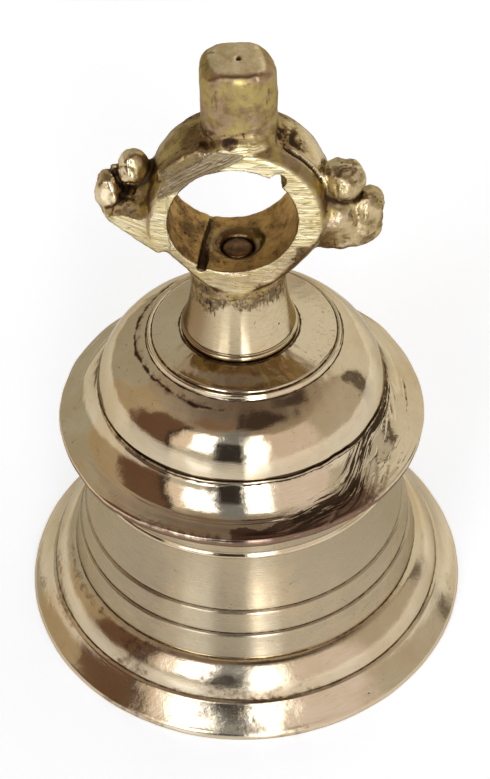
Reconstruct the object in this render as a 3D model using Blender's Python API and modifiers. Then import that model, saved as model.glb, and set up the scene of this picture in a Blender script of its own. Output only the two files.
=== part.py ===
"""Hand-cast hanging bell with a ring hanger: a Blender 4.5 script, in metres with +Z up.

The origin is the centre of the mouth, on the plane that the lip rests on. The bell's axis is +Z, the
hanger's ring opens along Y, and its two lugs stand out along X.
The hanger's threaded spigot passes through the crown and is clamped by a washer and a nut. A hanging rod
turns freely in the spigot's bore, with its peened head sunk in the ring's floor, and carries the clapper.
"""

import math

import bmesh
import bpy
from mathutils import Matrix, Vector

MM = 0.001
GAP = 0.3  # clearance between touching pieces, mm

# Driving dimensions, mm
MOUTH_R = 75.0
BODY_H = 118.0  # height of the seat that the hanger's neck stands on
RING_Z = 169.0  # height of the ring's centre
RING_HOLE_R = 18.8
RING_DEPTH = 27.2
TOP_Z = 216.5  # top of the peg, the bell's full height
CLAPPER_PIVOT_Z = 80.0

# Bell body
SEAT_R = 18.9
RIM_R = 59.4  # edge of the shoulder rim
RIM_Z = 81.6
DOME_FOOT_R = 46.0
DOME_FOOT_Z = 95.6
LIP_FACE_R = 67.6  # inner edge of the flat face that the bell stands on
CROWN_T = 9.0
BODY_STEPS = 48

# Hanger
RING_FRONT_R = 25.8
RING_MID_R = 27.6
RING_BACK_R = 24.6
RING_X = 1.2  # the casting is thicker on its right and at its foot, so the hole is off its centre
RING_DROP = 0.8
RING_HOLE_X = -1.3
SPIGOT_R = 8.0
SPIGOT_L = 19.0  # below the seat
NECK_FOOT_R = 18.3
NECK_TOP_R = 14.7
PEG_X = 1.2
PEG_HALF_W = 11.0
PEG_HALF_D = 9.4
PEG_EDGE_R = 2.6
FILED_Y = -6.2  # plane of the file marks on the left lug
FILED_X = -28.0  # where that plane meets the ring
# The beads of the two lugs: distance out from the axis, height above the ring's centre and radius
LEFT_LUG = {
    "upper": (29.3, 10.2, 6.0),
    "outer": (36.4, 2.2, 5.0),
    "lower": (29.0, -9.5, 5.6),
    "core": (28.5, 0.0, 8.6),
}
RIGHT_LUG = {
    "upper": (29.8, 7.4, 6.8),
    "outer": (38.3, -2.0, 5.8),
    "lower": (30.5, -12.0, 6.4),
    "core": (29.0, -2.2, 8.4),
}
LEFT_LUG_Y = 0.0
RIGHT_LUG_Y = -3.6

# Crown fastening
WASHER_R = 15.0
WASHER_T = 2.0
NUT_FLATS = 24.0  # across the flats
CROWN_NUT_H = 6.0

# Rods and clapper
BAR_R = 3.0
EYE_R = 7.0  # centreline radius of an eye bent in the bar
EYE_BEND_R = 5.0
EYE_WRAP = math.radians(280)
HEAD_R = 5.4
COUNTERSINK_R = 6.6
COUNTERSINK_DEPTH = 4.2
BALL_DROP = 54.0  # from the pivot to the centre of the clapper's ball
CLAPPER_BALL_R = 16.0
COLLAR_R = 5.2
CLAPPER_WASHER_R = 7.0
CLAPPER_WASHER_T = 1.2
CLAPPER_NUT_FLATS = 11.0
CLAPPER_NUT_H = 3.4

RING_FLOOR_Z = RING_Z - RING_HOLE_R
CROWN_UNDER_Z = BODY_H - CROWN_T
SPIGOT_END_Z = BODY_H - SPIGOT_L
ROD_EYE_Z = CLAPPER_PIVOT_Z + EYE_R
CLAPPER_EYE_Z = CLAPPER_PIVOT_Z + 2 * BAR_R + GAP - EYE_R
BALL_Z = CLAPPER_PIVOT_Z - BALL_DROP

COLOURS = {
    "bell_bronze": ((0.62, 0.53, 0.37), 0.16, 1.0),
    "hanger_brass": ((0.58, 0.46, 0.22), 0.34, 1.0),
    "steel": ((0.33, 0.32, 0.31), 0.42, 1.0),
    "clapper_brass": ((0.50, 0.40, 0.20), 0.30, 1.0),
}


def make_collection(name):
    collection = bpy.data.collections.new(name)
    bpy.context.scene.collection.children.link(collection)
    return collection


def make_material(name):
    colour, roughness, metallic = COLOURS[name]
    material = bpy.data.materials.new(name)
    material.use_nodes = True
    shader = material.node_tree.nodes["Principled BSDF"]
    shader.inputs["Base Color"].default_value = (*colour, 1.0)
    shader.inputs["Roughness"].default_value = roughness
    shader.inputs["Metallic"].default_value = metallic
    return material


def add_object(name, data, collection, material=None, location=(0, 0, 0)):
    obj = bpy.data.objects.new(name, data)
    obj.location = Vector(location) * MM
    collection.objects.link(obj)
    if material:
        data.materials.append(material)
    return obj


def make_helper(obj):
    obj.hide_render = True
    obj.display_type = "WIRE"
    return obj


def arc(start, end, bulge, count):
    """Points after start up to end on an arc whose middle stands bulge to the right of the chord."""
    start = Vector(start)
    end = Vector(end)
    chord = end - start
    right = Vector((chord.y, -chord.x)).normalized()
    half = chord.length / 2
    radius = (half**2 + bulge**2) / (2 * bulge)
    centre = (start + end) / 2 + right * (bulge - radius)
    first = start - centre
    sweep = 2 * math.asin(half / abs(radius)) * math.copysign(1, bulge)
    turned = []
    for i in range(1, count + 1):
        turned.append(centre + Matrix.Rotation(sweep * i / count, 2) @ first)
    return [tuple(point) for point in turned]


def turned_mesh(name, profile, steps, closed):
    """A profile of (radius, height) points, outer side first and downwards, turned about Z."""
    mesh = bpy.data.meshes.new(name)
    points = [(r * MM, 0, z * MM) for r, z in profile]
    edges = [(i, i + 1) for i in range(len(points) - 1)]
    if closed:
        edges.append((len(points) - 1, 0))
    mesh.from_pydata(points, edges, [])
    return mesh, steps


def add_turned(name, profile, steps, collection, material=None, location=(0, 0, 0), closed=True):
    mesh, steps = turned_mesh(name, profile, steps, closed)
    obj = add_object(name, mesh, collection, material, location)
    screw = obj.modifiers.new("turn", "SCREW")
    screw.axis = "Z"
    screw.steps = steps
    screw.render_steps = steps
    screw.use_merge_vertices = True
    screw.merge_threshold = 0.00001
    return obj


def add_boolean(obj, other, operation):
    modifier = obj.modifiers.new(f"{operation.lower()} {other.name}", "BOOLEAN")
    modifier.operation = operation
    modifier.object = other
    modifier.solver = "EXACT"


def add_sphere(name, centre, radius, collection):
    mesh = bpy.data.meshes.new(name)
    shape = bmesh.new()
    bmesh.ops.create_uvsphere(shape, u_segments=16, v_segments=9, radius=radius * MM)
    shape.to_mesh(mesh)
    shape.free()
    return make_helper(add_object(name, mesh, collection, location=centre))


def add_cylinder(name, radius, top_radius, height, centre, collection, segments=32):
    mesh = bpy.data.meshes.new(name)
    shape = bmesh.new()
    bmesh.ops.create_cone(
        shape,
        cap_ends=True,
        segments=segments,
        radius1=radius * MM,
        radius2=top_radius * MM,
        depth=height * MM,
    )
    shape.to_mesh(mesh)
    shape.free()
    return make_helper(add_object(name, mesh, collection, location=centre))


def add_box(name, size, centre, collection):
    mesh = bpy.data.meshes.new(name)
    shape = bmesh.new()
    bmesh.ops.create_cube(shape, size=1)
    bmesh.ops.scale(shape, vec=Vector(size) * MM, verts=shape.verts)
    shape.to_mesh(mesh)
    shape.free()
    return make_helper(add_object(name, mesh, collection, location=centre))


def outer_profile():
    """The outside of the casting, from the seat down to the edge of the lip."""
    points = [(SEAT_R, BODY_H)]
    points += [(SEAT_R + 0.3, BODY_H - 0.4), (30.2, 113.1)]  # sloping crown plate
    points += [(30.6, 112.7)]
    points += arc((30.9, 112.8), (33.0, 110.9), -0.5, 2)  # bead round the plate
    points += [(33.4, 110.5)]
    points += arc((33.4, 110.5), (DOME_FOOT_R, DOME_FOOT_Z), -3.2, 5)  # dome
    points += [(DOME_FOOT_R - 0.6, DOME_FOOT_Z - 0.9), (DOME_FOOT_R + 0.4, DOME_FOOT_Z - 1.6)]
    points += arc((DOME_FOOT_R + 0.4, DOME_FOOT_Z - 1.6), (53.6, 84.4), 0.5, 3)  # shoulder flare
    points += [(RIM_R - 1.2, RIM_Z + 1.0), (RIM_R, RIM_Z), (RIM_R - 0.2, RIM_Z - 1.6)]
    points += [(RIM_R - 1.2, RIM_Z - 2.2), (52.4, 77.2), (51.6, 76.0)]  # underside of the rim
    points += [(51.7, 67.0), (51.2, 66.0), (50.4, 65.5)]  # band under the rim
    points += arc((50.4, 65.5), (54.0, 41.6), 0.5, 3)  # waist
    points += [(54.5, 41.1), (56.2, 33.1), (56.7, 32.6), (58.9, 23.6)]  # two plain bands
    points += [(58.8, 22.9), (60.4, 22.4)]
    points += arc((60.4, 22.4), (66.9, 12.2), -0.9, 4)  # moulding
    points += [(67.0, 11.6), (67.7, 11.0)]
    points += arc((67.7, 11.0), (MOUTH_R - 0.5, 3.4), -0.35, 3)  # lip
    points += arc((MOUTH_R - 0.5, 3.4), (MOUTH_R - 1.6, 0), -1.1, 3)
    return points


def inner_profile():
    """The inside of the casting, from the lip's flat face up to the crown's flat boss."""
    points = [(LIP_FACE_R, 0), (LIP_FACE_R - 0.9, 0.7)]
    points += arc((LIP_FACE_R - 0.9, 0.7), (50.6, 30.0), 0.8, 5)  # flare inside the sound bow
    points += arc((50.6, 30.0), (45.8, 72.0), 1.0, 3)  # waist
    points += arc((45.8, 72.0), (17.0, CROWN_UNDER_Z), 11.5, 7)  # inside of the dome
    return points


def build_bell_body(parts, material):
    bore_r = SPIGOT_R + GAP
    profile = outer_profile() + inner_profile()
    profile += [(bore_r, CROWN_UNDER_Z), (bore_r, BODY_H)]
    return add_turned("bell_body", profile, BODY_STEPS, parts, material)


def neck_profile():
    """Neck and spigot in one, solid to the axis, from inside the ring's wall down."""
    foot_z = BODY_H + GAP
    points = [(0, RING_FLOOR_Z - 2.5), (NECK_TOP_R - 2.0, RING_FLOOR_Z - 2.5), (NECK_TOP_R - 1.3, 143.0)]
    points += [(NECK_TOP_R, 139.5)]
    points += arc((NECK_TOP_R, 139.5), (NECK_FOOT_R - 0.7, foot_z + 2.2), 0.5, 4)
    points += [(NECK_FOOT_R - 0.4, foot_z + 1.7), (NECK_FOOT_R, foot_z + 1.2), (NECK_FOOT_R, foot_z)]
    points += [(SPIGOT_R, foot_z), (SPIGOT_R, SPIGOT_END_Z + 0.8)]
    points += [(SPIGOT_R - 0.8, SPIGOT_END_Z), (0, SPIGOT_END_Z)]
    return points


def ring_profile():
    """Section of the ring in (radius, depth): filed flat on its front, with a crowned outside."""
    half = RING_DEPTH / 2
    bore_r = RING_HOLE_R - 2.5  # well inside the hole that is cut later
    points = [(RING_BACK_R - 1.8, half), (RING_BACK_R, half - 1.4)]
    points += arc((RING_BACK_R, half - 1.4), (RING_MID_R, 0), -0.5, 3)
    points += arc((RING_MID_R, 0), (RING_FRONT_R, -half), -0.3, 3)
    points += [(bore_r, -half), (bore_r, half)]
    return points


def add_lug(name, side, y, beads, helpers):
    """Three beads round a core, cast on one side of the ring. Returns its pieces."""
    pieces = []
    for spot, (out, up, radius) in beads.items():
        centre = (side * out, y, RING_Z + up)
        pieces.append(add_sphere(f"{name}_{spot}", centre, radius, helpers))
    return pieces


def add_peg(helpers):
    """The lathe peg: a rounded post, a little flattened front and back."""
    foot_z = RING_Z + RING_HOLE_R + 3.5
    height = TOP_Z - foot_z
    peg = add_cylinder("peg", PEG_HALF_W, PEG_HALF_W, height, (PEG_X, 0, foot_z + height / 2), helpers, 28)
    peg.data.transform(Matrix.Diagonal((1, PEG_HALF_D / PEG_HALF_W, 1, 1)))
    bevel = peg.modifiers.new("rounded top", "BEVEL")
    bevel.width = PEG_EDGE_R * MM
    bevel.segments = 3
    bevel.limit_method = "ANGLE"
    bevel.angle_limit = math.radians(60)
    return peg


def build_hanger(parts, helpers, material):
    ring = add_turned("hanger", ring_profile(), 40, parts, material)
    ring.rotation_euler = (-math.pi / 2, 0, 0)
    ring.location = Vector((RING_X, 0, RING_Z - RING_DROP)) * MM
    neck = make_helper(add_turned("neck", neck_profile(), 32, helpers, closed=False))
    pieces = [neck]
    pieces += add_lug("left_lug", -1, LEFT_LUG_Y, LEFT_LUG, helpers)
    pieces += add_lug("right_lug", 1, RIGHT_LUG_Y, RIGHT_LUG, helpers)
    pieces.append(add_peg(helpers))
    for piece in pieces:
        add_boolean(ring, piece, "UNION")
    hole_l = RING_DEPTH + 10
    hole = add_cylinder("ring_hole", RING_HOLE_R, RING_HOLE_R, hole_l, (RING_HOLE_X, 0, RING_Z), helpers, 40)
    hole.rotation_euler = (math.pi / 2, 0, 0)
    bore_l = RING_FLOOR_Z - SPIGOT_END_Z + 20
    bore_r = BAR_R + GAP
    bore = add_cylinder(
        "rod_bore", bore_r, bore_r, bore_l, (0, 0, SPIGOT_END_Z - 5 + bore_l / 2), helpers, 20
    )
    sink_h = COUNTERSINK_DEPTH + 3.0
    widening = (COUNTERSINK_R - bore_r) / COUNTERSINK_DEPTH
    sink = add_cylinder(
        "countersink",
        bore_r,
        bore_r + widening * sink_h,
        sink_h,
        (0, 0, RING_FLOOR_Z - COUNTERSINK_DEPTH + sink_h / 2),
        helpers,
        24,
    )
    file_size = (30, 20, 50)
    file_spot = (FILED_X - file_size[0] / 2, FILED_Y - file_size[1] / 2, RING_Z)
    file_cut = add_box("filed_face", file_size, file_spot, helpers)
    for cutter in (hole, bore, sink, file_cut):
        add_boolean(ring, cutter, "DIFFERENCE")
    return ring


def add_washer(name, hole_r, outer_r, thickness, top_z, parts, material):
    edge = 0.25
    profile = [
        (hole_r, 0),
        (outer_r - edge, 0),
        (outer_r, -edge),
        (outer_r, edge - thickness),
        (outer_r - edge, -thickness),
        (hole_r, -thickness),
    ]
    return add_turned(name, profile, 24, parts, material, (0, 0, top_z))


def add_hex_nut(name, flats, height, hole_r, top_z, parts, helpers, material):
    """A hexagon prism with its corners turned off at 30 degrees and a chamfered hole."""
    corner_r = flats / math.sqrt(3)
    drop = (corner_r - flats / 2) * math.tan(math.radians(30))
    mesh = bpy.data.meshes.new(name)
    shape = bmesh.new()
    bmesh.ops.create_cone(
        shape,
        cap_ends=True,
        segments=6,
        radius1=corner_r * MM,
        radius2=corner_r * MM,
        depth=height * MM,
    )
    shape.to_mesh(mesh)
    shape.free()
    nut = add_object(name, mesh, parts, material, (0, 0, top_z - height / 2))
    lead = 0.5
    half = height / 2
    envelope_profile = [
        (hole_r + lead, half),
        (flats / 2, half),
        (corner_r + 0.2, half - drop - 0.1),
        (corner_r + 0.2, drop + 0.1 - half),
        (flats / 2, -half),
        (hole_r + lead, -half),
        (hole_r, lead - half),
        (hole_r, half - lead),
    ]
    envelope_at = (0, 0, top_z - height / 2)
    envelope = add_turned(f"{name}_envelope", envelope_profile, 24, helpers, location=envelope_at)
    add_boolean(nut, make_helper(envelope), "INTERSECT")
    return nut


def eye_path(eye_z, upward):
    """Centreline from the shank's end round the eye in the (across, height) plane, in mm.

    upward is 1 where the shank comes down from above, and -1 where it leads downwards."""
    rise = math.sqrt(EYE_R**2 + 2 * EYE_R * EYE_BEND_R)
    turn = math.atan2(rise, EYE_BEND_R)
    points = []
    for i in range(5):
        angle = math.pi + turn * i / 4
        points.append((EYE_BEND_R + EYE_BEND_R * math.cos(angle), rise + EYE_BEND_R * math.sin(angle)))
    steps = 20
    for i in range(1, steps + 1):
        angle = turn - EYE_WRAP * i / steps
        points.append((EYE_R * math.cos(angle), EYE_R * math.sin(angle)))
    return [(across, eye_z + upward * height) for across, height in points]


def add_bar(name, route, parts, material):
    """A round bar along route, a list of (x, y, z, radius) in mm, as a closed mesh."""
    curve = bpy.data.curves.new(name, "CURVE")
    curve.dimensions = "3D"
    curve.bevel_depth = BAR_R * MM
    curve.bevel_resolution = 2
    curve.use_fill_caps = True
    spline = curve.splines.new("POLY")
    spline.points.add(len(route) - 1)
    for point, (x, y, z, radius) in zip(spline.points, route):
        point.co = (x * MM, y * MM, z * MM, 1)
        point.radius = radius / BAR_R
    path = add_object(f"{name}_path", curve, parts)
    graph = bpy.context.evaluated_depsgraph_get()
    mesh = bpy.data.meshes.new_from_object(path.evaluated_get(graph))
    shape = bmesh.new()
    shape.from_mesh(mesh)
    bmesh.ops.remove_doubles(shape, verts=shape.verts, dist=0.00001)
    bmesh.ops.recalc_face_normals(shape, faces=shape.faces)
    shape.to_mesh(mesh)
    shape.free()
    bar = add_object(name, mesh, parts, material)
    bar.matrix_world = path.matrix_world
    bpy.data.objects.remove(path)
    return bar


def build_hanging_rod(parts, material):
    """The rod that turns in the spigot: a peened head, a shank and an eye in the XZ plane."""
    seat_z = RING_FLOOR_Z - COUNTERSINK_DEPTH
    route = [(x, 0, z, BAR_R) for x, z in reversed(eye_path(ROD_EYE_Z, 1))]
    route += [
        (0, 0, SPIGOT_END_Z, BAR_R),
        (0, 0, seat_z - 0.4, BAR_R),
        (0, 0, seat_z + 0.6, BAR_R + 0.15),
        (0, 0, seat_z + 2.3, HEAD_R * 0.93),
        (0, 0, seat_z + 2.9, HEAD_R * 0.85),
        (0, 0, seat_z + 3.3, HEAD_R * 0.45),
    ]
    return add_bar("hanging_rod", route, parts, material)


def add_pivot(name, z, collection):
    pivot = bpy.data.objects.new(name, None)
    pivot.location = (0, 0, z * MM)
    collection.objects.link(pivot)
    return pivot


def hang_on(pivot, pieces):
    for piece in pieces:
        piece.parent = pivot
        piece.matrix_parent_inverse = Matrix.Translation(-pivot.location)


def build_clapper(parts, helpers, steel, brass):
    """The clapper's rod with its eye in the YZ plane, and the ball that a washer and nut hold on it."""
    ball_top = BALL_Z + math.sqrt(CLAPPER_BALL_R**2 - COLLAR_R**2)
    ball_bottom = 2 * BALL_Z - ball_top
    washer_top = ball_bottom - GAP
    nut_top = washer_top - CLAPPER_WASHER_T - GAP
    rod_end = nut_top - CLAPPER_NUT_H - 0.8
    route = [(0, y, z, BAR_R) for y, z in reversed(eye_path(CLAPPER_EYE_Z, -1))]
    route += [
        (0, 0, ball_top + 7.0, BAR_R),
        (0, 0, ball_top + 3.2, COLLAR_R * 0.9),
        (0, 0, ball_top + 1.2, COLLAR_R),
        (0, 0, ball_top + GAP, COLLAR_R),
        (0, 0, ball_top + GAP - 0.05, BAR_R),
        (0, 0, rod_end + 0.4, BAR_R),
        (0, 0, rod_end, BAR_R - 0.4),
    ]
    rod = add_bar("clapper_rod", route, parts, steel)
    hole_r = BAR_R + GAP
    lift = math.sqrt(CLAPPER_BALL_R**2 - COLLAR_R**2)
    first = math.acos(COLLAR_R / CLAPPER_BALL_R)
    count = 12
    ball_profile = []
    for i in range(count + 1):
        angle = first - 2 * first * i / count
        ball_profile.append((CLAPPER_BALL_R * math.cos(angle), CLAPPER_BALL_R * math.sin(angle)))
    ball_profile += [(hole_r, -lift), (hole_r, lift)]
    ball = add_turned("clapper_ball", ball_profile, 32, parts, brass, (0, 0, BALL_Z))
    washer = add_washer("clapper_washer", hole_r, CLAPPER_WASHER_R, CLAPPER_WASHER_T, washer_top, parts, steel)
    nut = add_hex_nut("clapper_nut", CLAPPER_NUT_FLATS, CLAPPER_NUT_H, hole_r, nut_top, parts, helpers, steel)
    pivot = add_pivot("clapper_pivot", CLAPPER_PIVOT_Z, parts)
    hang_on(pivot, (rod, ball, washer, nut))


def main():
    for obj in list(bpy.data.objects):
        bpy.data.objects.remove(obj, do_unlink=True)
    parts = make_collection("ring_hung_bell")
    helpers = make_collection("cutters")
    bronze, hanger_brass, steel, clapper_brass = (make_material(name) for name in COLOURS)
    build_bell_body(parts, bronze)
    build_hanger(parts, helpers, hanger_brass)
    hole_r = SPIGOT_R + GAP
    washer_top = CROWN_UNDER_Z - GAP
    nut_top = washer_top - WASHER_T - GAP
    add_washer("crown_washer", hole_r, WASHER_R, WASHER_T, washer_top, parts, steel)
    add_hex_nut("crown_nut", NUT_FLATS, CROWN_NUT_H, hole_r, nut_top, parts, helpers, steel)
    build_hanging_rod(parts, steel)
    build_clapper(parts, helpers, steel, clapper_brass)
    for obj in parts.objects:
        if obj.type == "MESH":
            obj.data.shade_smooth()


main()
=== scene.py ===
"""Looks of the ring-hung bell: a lathe-turned, hand-polished bell under a rough-cast ring hanger.

Shapes are worked out in millimetres in the frame's own axes, and turned into metres when a mesh is made.
Angles round the bell are in radians from the front, -Y, and grow towards +X.
A turned shape is a grid of angle, in columns, by travel, the distance along its outline, in rows.
"""

import math

import bmesh
import bpy
import numpy as np
from mathutils import Matrix, Vector


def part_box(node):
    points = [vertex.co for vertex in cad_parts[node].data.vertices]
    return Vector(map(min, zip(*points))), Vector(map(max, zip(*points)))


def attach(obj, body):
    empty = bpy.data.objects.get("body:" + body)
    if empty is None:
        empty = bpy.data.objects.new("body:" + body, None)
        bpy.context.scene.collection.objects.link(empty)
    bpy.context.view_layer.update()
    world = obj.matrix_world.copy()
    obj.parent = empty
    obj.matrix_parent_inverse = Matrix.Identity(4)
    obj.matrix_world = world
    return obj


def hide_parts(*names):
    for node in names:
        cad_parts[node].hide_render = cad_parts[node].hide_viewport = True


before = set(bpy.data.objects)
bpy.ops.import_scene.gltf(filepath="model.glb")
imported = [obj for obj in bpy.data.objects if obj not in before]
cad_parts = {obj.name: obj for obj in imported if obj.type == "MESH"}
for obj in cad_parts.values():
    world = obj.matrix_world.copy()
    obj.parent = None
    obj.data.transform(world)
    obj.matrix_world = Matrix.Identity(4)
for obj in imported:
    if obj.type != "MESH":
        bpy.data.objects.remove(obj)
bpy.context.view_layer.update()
rng = np.random.default_rng(11)

MM = 0.001
BELL_STEPS = 640  # columns round the bell
NECK_STEPS = 256
BALL_STEPS = 160


# ---------------------------------------------------------------- numbers from the frame

def node_box(name):
    low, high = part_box(name)
    return np.array(low) / MM, np.array(high) / MM


body_high = node_box("bell_body")[1]
hanger_low, hanger_high = node_box("hanger")
MOUTH_R = round(body_high[0], 1) - 0.1
SEAT_Z = body_high[2]
TOP_Z = hanger_high[2]
RING_HALF = 13.6
RING_Z = SEAT_Z + 51.0
HOLE_R = 18.8
RING_FLOOR_Z = RING_Z - HOLE_R


# ---------------------------------------------------------------- noise and soft edges

def lattice(ix, iy, iz, seed):
    """A repeatable value from 0 to 1 for each whole-number point."""
    mask = 0xFFFFFFFF
    h = (ix * 374761393 + iy * 668265263 + iz * 1274126177 + seed * 974634777) & mask
    h = ((h ^ (h >> 13)) * 1103515245) & mask
    return ((h ^ (h >> 16)) & 0xFFFF) / 65535.0


def noise(points, size, seed=0):
    """Smooth noise from -1 to 1 at each point, with features about as large as size."""
    p = np.asarray(points, float) / size
    cell = np.floor(p).astype(np.int64)
    t = p - cell
    t = t * t * (3 - 2 * t)
    total = np.zeros(len(p))
    for corner in range(8):
        d = np.array([corner & 1, corner >> 1 & 1, corner >> 2 & 1])
        weight = np.prod(np.where(d == 1, t, 1 - t), axis=1)
        total += weight * lattice(*(cell + d).T, seed)
    return 2 * total - 1


def rough_noise(points, size, octaves, seed=0):
    total = np.zeros(len(points))
    for k in range(octaves):
        total += noise(points, size / 2**k, seed + k) / 2**k
    return total / (2 - 2 ** (1 - octaves))


def round_noise(angle, travel, size, seed, radius=1.0, rise=0.0, octaves=1):
    """Noise over a turned shape's grid, on a tube of this radius, that is rise times travel high."""
    x, y, z = np.broadcast_arrays(radius * np.sin(angle), radius * np.cos(angle), rise * travel)
    points = np.stack([x, y, z], -1).reshape(-1, 3)
    return rough_noise(points, size, octaves, seed).reshape(x.shape)


def ramp(x, low, high):
    """0 below low, 1 above high, and smooth between them."""
    t = np.clip((x - low) / (high - low), 0, 1)
    return t * t * (3 - 2 * t)


def fall(x, low, high):
    """1 below low, 0 above high, and smooth between them."""
    return ramp(-x, -high, -low)


def window(x, low, full, end, high):
    """1 from full to end, 0 below low and above high, and smooth between."""
    return ramp(x, low, full) * fall(x, end, high)


def hump(x, width, power=2):
    """1 at zero, fading away on both sides."""
    return np.exp(-((x / width) ** power))


def wrap(angle):
    return (angle + math.pi) % (2 * math.pi) - math.pi


# ---------------------------------------------------------------- meshes

def link(obj):
    bpy.context.scene.collection.objects.link(obj)
    return obj


def mesh_object(name, vertices, faces, materials, face_material=None):
    """A mesh object from arrays, in millimetres, of vertices and of faces with equal corner counts."""
    mesh = bpy.data.meshes.new(name)
    vertices = np.asarray(vertices, np.float32) * MM
    faces = np.asarray(faces, np.int32)
    mesh.vertices.add(len(vertices))
    mesh.vertices.foreach_set("co", vertices.ravel())
    mesh.loops.add(faces.size)
    mesh.loops.foreach_set("vertex_index", faces.ravel())
    mesh.polygons.add(len(faces))
    mesh.polygons.foreach_set("loop_start", np.arange(0, faces.size, faces.shape[1], dtype=np.int32))
    for material in materials:
        mesh.materials.append(material)
    if face_material is not None:
        mesh.polygons.foreach_set("material_index", np.asarray(face_material, np.int32))
    mesh.update(calc_edges=True)
    mesh.validate()
    mesh.shade_smooth()
    return link(bpy.data.objects.new(name, mesh))


def point_values(obj, **values):
    """Keeps numbers or vectors on a mesh's points, for its material."""
    for name, value in values.items():
        value = np.asarray(value, np.float32)
        is_vector = value.shape[-1] == 3
        attribute = obj.data.attributes.new(name, "FLOAT_VECTOR" if is_vector else "FLOAT", "POINT")
        attribute.data.foreach_set("vector" if is_vector else "value", value.ravel())


def outline(start, pieces):
    """Points along straight and curved pieces, joined end to end, with the zone of each span.

    A piece is (end radius, end height, bulge, spacing, zone); bulge is how far the middle of an arc stands
    to the right of its chord, looking along it. The last point is the first again, and is left out."""
    points = [np.array(start, float)]
    zones = []
    for r, z, bulge, spacing, zone in pieces:
        a = points[-1].copy()
        chord = np.array((r, z), float) - a
        size = np.hypot(*chord)
        count = max(1, round(size / spacing))
        right = np.array((chord[1], -chord[0])) / size
        for i in range(1, count + 1):
            t = i / count
            points.append(a + chord * t + right * bulge * 4 * t * (1 - t))
            zones.append(zone)
    return np.array(points[:-1]), zones


def travel_of(points):
    """The distance along an outline to each of its points."""
    return np.concatenate([[0], np.cumsum(np.hypot(*np.diff(points, axis=0).T))])


def travel_at(points, r, z):
    """How far along an outline its point nearest to (r, z) lies."""
    return travel_of(points)[np.argmin(np.hypot(points[:, 0] - r, points[:, 1] - z))]


def columns(steps):
    """The angle of each column, from the back round to the back again."""
    return np.arange(steps) * 2 * math.pi / steps - math.pi


def turned_faces(rows, steps):
    """Quads between the columns and rows of a turned shape whose outline is a closed loop."""
    column = np.arange(steps)
    after = (column + 1) % steps
    faces = []
    for j in range(rows):
        k = (j + 1) % rows
        faces.append(np.stack([column * rows + j, column * rows + k, after * rows + k, after * rows + j], 1))
    return np.concatenate(faces)


def turned_object(name, outline_parts, materials, steps, offset):
    """Turns an outline about Z. offset(angle, travel) gives how far each vertex moves along its normal."""
    points, zones = outline_parts
    rows = len(points)
    travel = travel_of(points)
    tangent = np.roll(points, -1, 0) - np.roll(points, 1, 0)
    tangent /= np.linalg.norm(tangent, axis=1)[:, None]
    angle = columns(steps)[:, None]
    shift = offset(angle, travel[None, :])
    r = points[None, :, 0] - tangent[None, :, 1] * shift
    z = points[None, :, 1] + tangent[None, :, 0] * shift
    xyz = np.stack([r * np.sin(angle), -r * np.cos(angle), z], -1).reshape(-1, 3)
    slots = [list(materials).index(zone) for zone in zones]
    obj = mesh_object(name, xyz, turned_faces(rows, steps), materials.values(), np.repeat(slots, steps))
    lathe = np.broadcast_arrays(np.sin(angle), -np.cos(angle), travel[None, :] / 100)
    point_values(obj, lathe=np.stack(lathe, -1).reshape(-1, 3))
    return obj


# ---------------------------------------------------------------- node trees

def is_socket(value):
    return isinstance(value, bpy.types.NodeSocket)


class Tree:
    """A shader node tree, built by small steps. A value is a number, a colour or another node's output."""

    def __init__(self, tree):
        self.tree = tree

    def put(self, socket, value):
        if is_socket(value):
            self.tree.links.new(value, socket)
        else:
            socket.default_value = value

    def node(self, kind, output, inputs, **settings):
        """One output of a new node, with its inputs given by name."""
        node = self.tree.nodes.new(kind)
        for key, value in settings.items():
            setattr(node, key, value)
        for name, value in inputs.items():
            self.put(node.inputs[name], value)
        return node.outputs[output]

    def parts(self, vector):
        return [self.node("ShaderNodeSeparateXYZ", axis, {"Vector": vector}) for axis in "XYZ"]

    def noise(self, vector, scale, detail=3, roughness=0.55, distortion=0.0):
        inputs = {"Vector": vector, "Scale": scale, "Detail": detail, "Roughness": roughness}
        return self.node("ShaderNodeTexNoise", "Fac", {**inputs, "Distortion": distortion})

    def span(self, value, low, high, to_low=0.0, to_high=1.0):
        inputs = {"Value": value, "From Min": low, "From Max": high, "To Min": to_low, "To Max": to_high}
        return self.node("ShaderNodeMapRange", "Result", inputs, interpolation_type="SMOOTHSTEP")

    def math(self, operation, a, b=0.0):
        return self.node("ShaderNodeMath", "Value", {0: a, 1: b}, operation=operation)

    def plus(self, a, b):
        return self.math("ADD", a, b)

    def minus(self, a, b):
        return self.math("SUBTRACT", a, b)

    def times(self, a, b):
        return self.math("MULTIPLY", a, b)

    def larger(self, a, b):
        return self.math("MAXIMUM", a, b)

    def sway(self, noise, reach):
        """A noise that runs from 0 to 1, made to run by half its reach to either side of 0."""
        return self.times(self.minus(noise, 0.5), reach)

    def mix(self, factor, a, b):
        a, b = [colour if is_socket(colour) else (*colour, 1) for colour in (a, b)]
        return self.node("ShaderNodeMix", "Result", {"Factor": factor, "A": a, "B": b}, data_type="RGBA")


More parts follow.
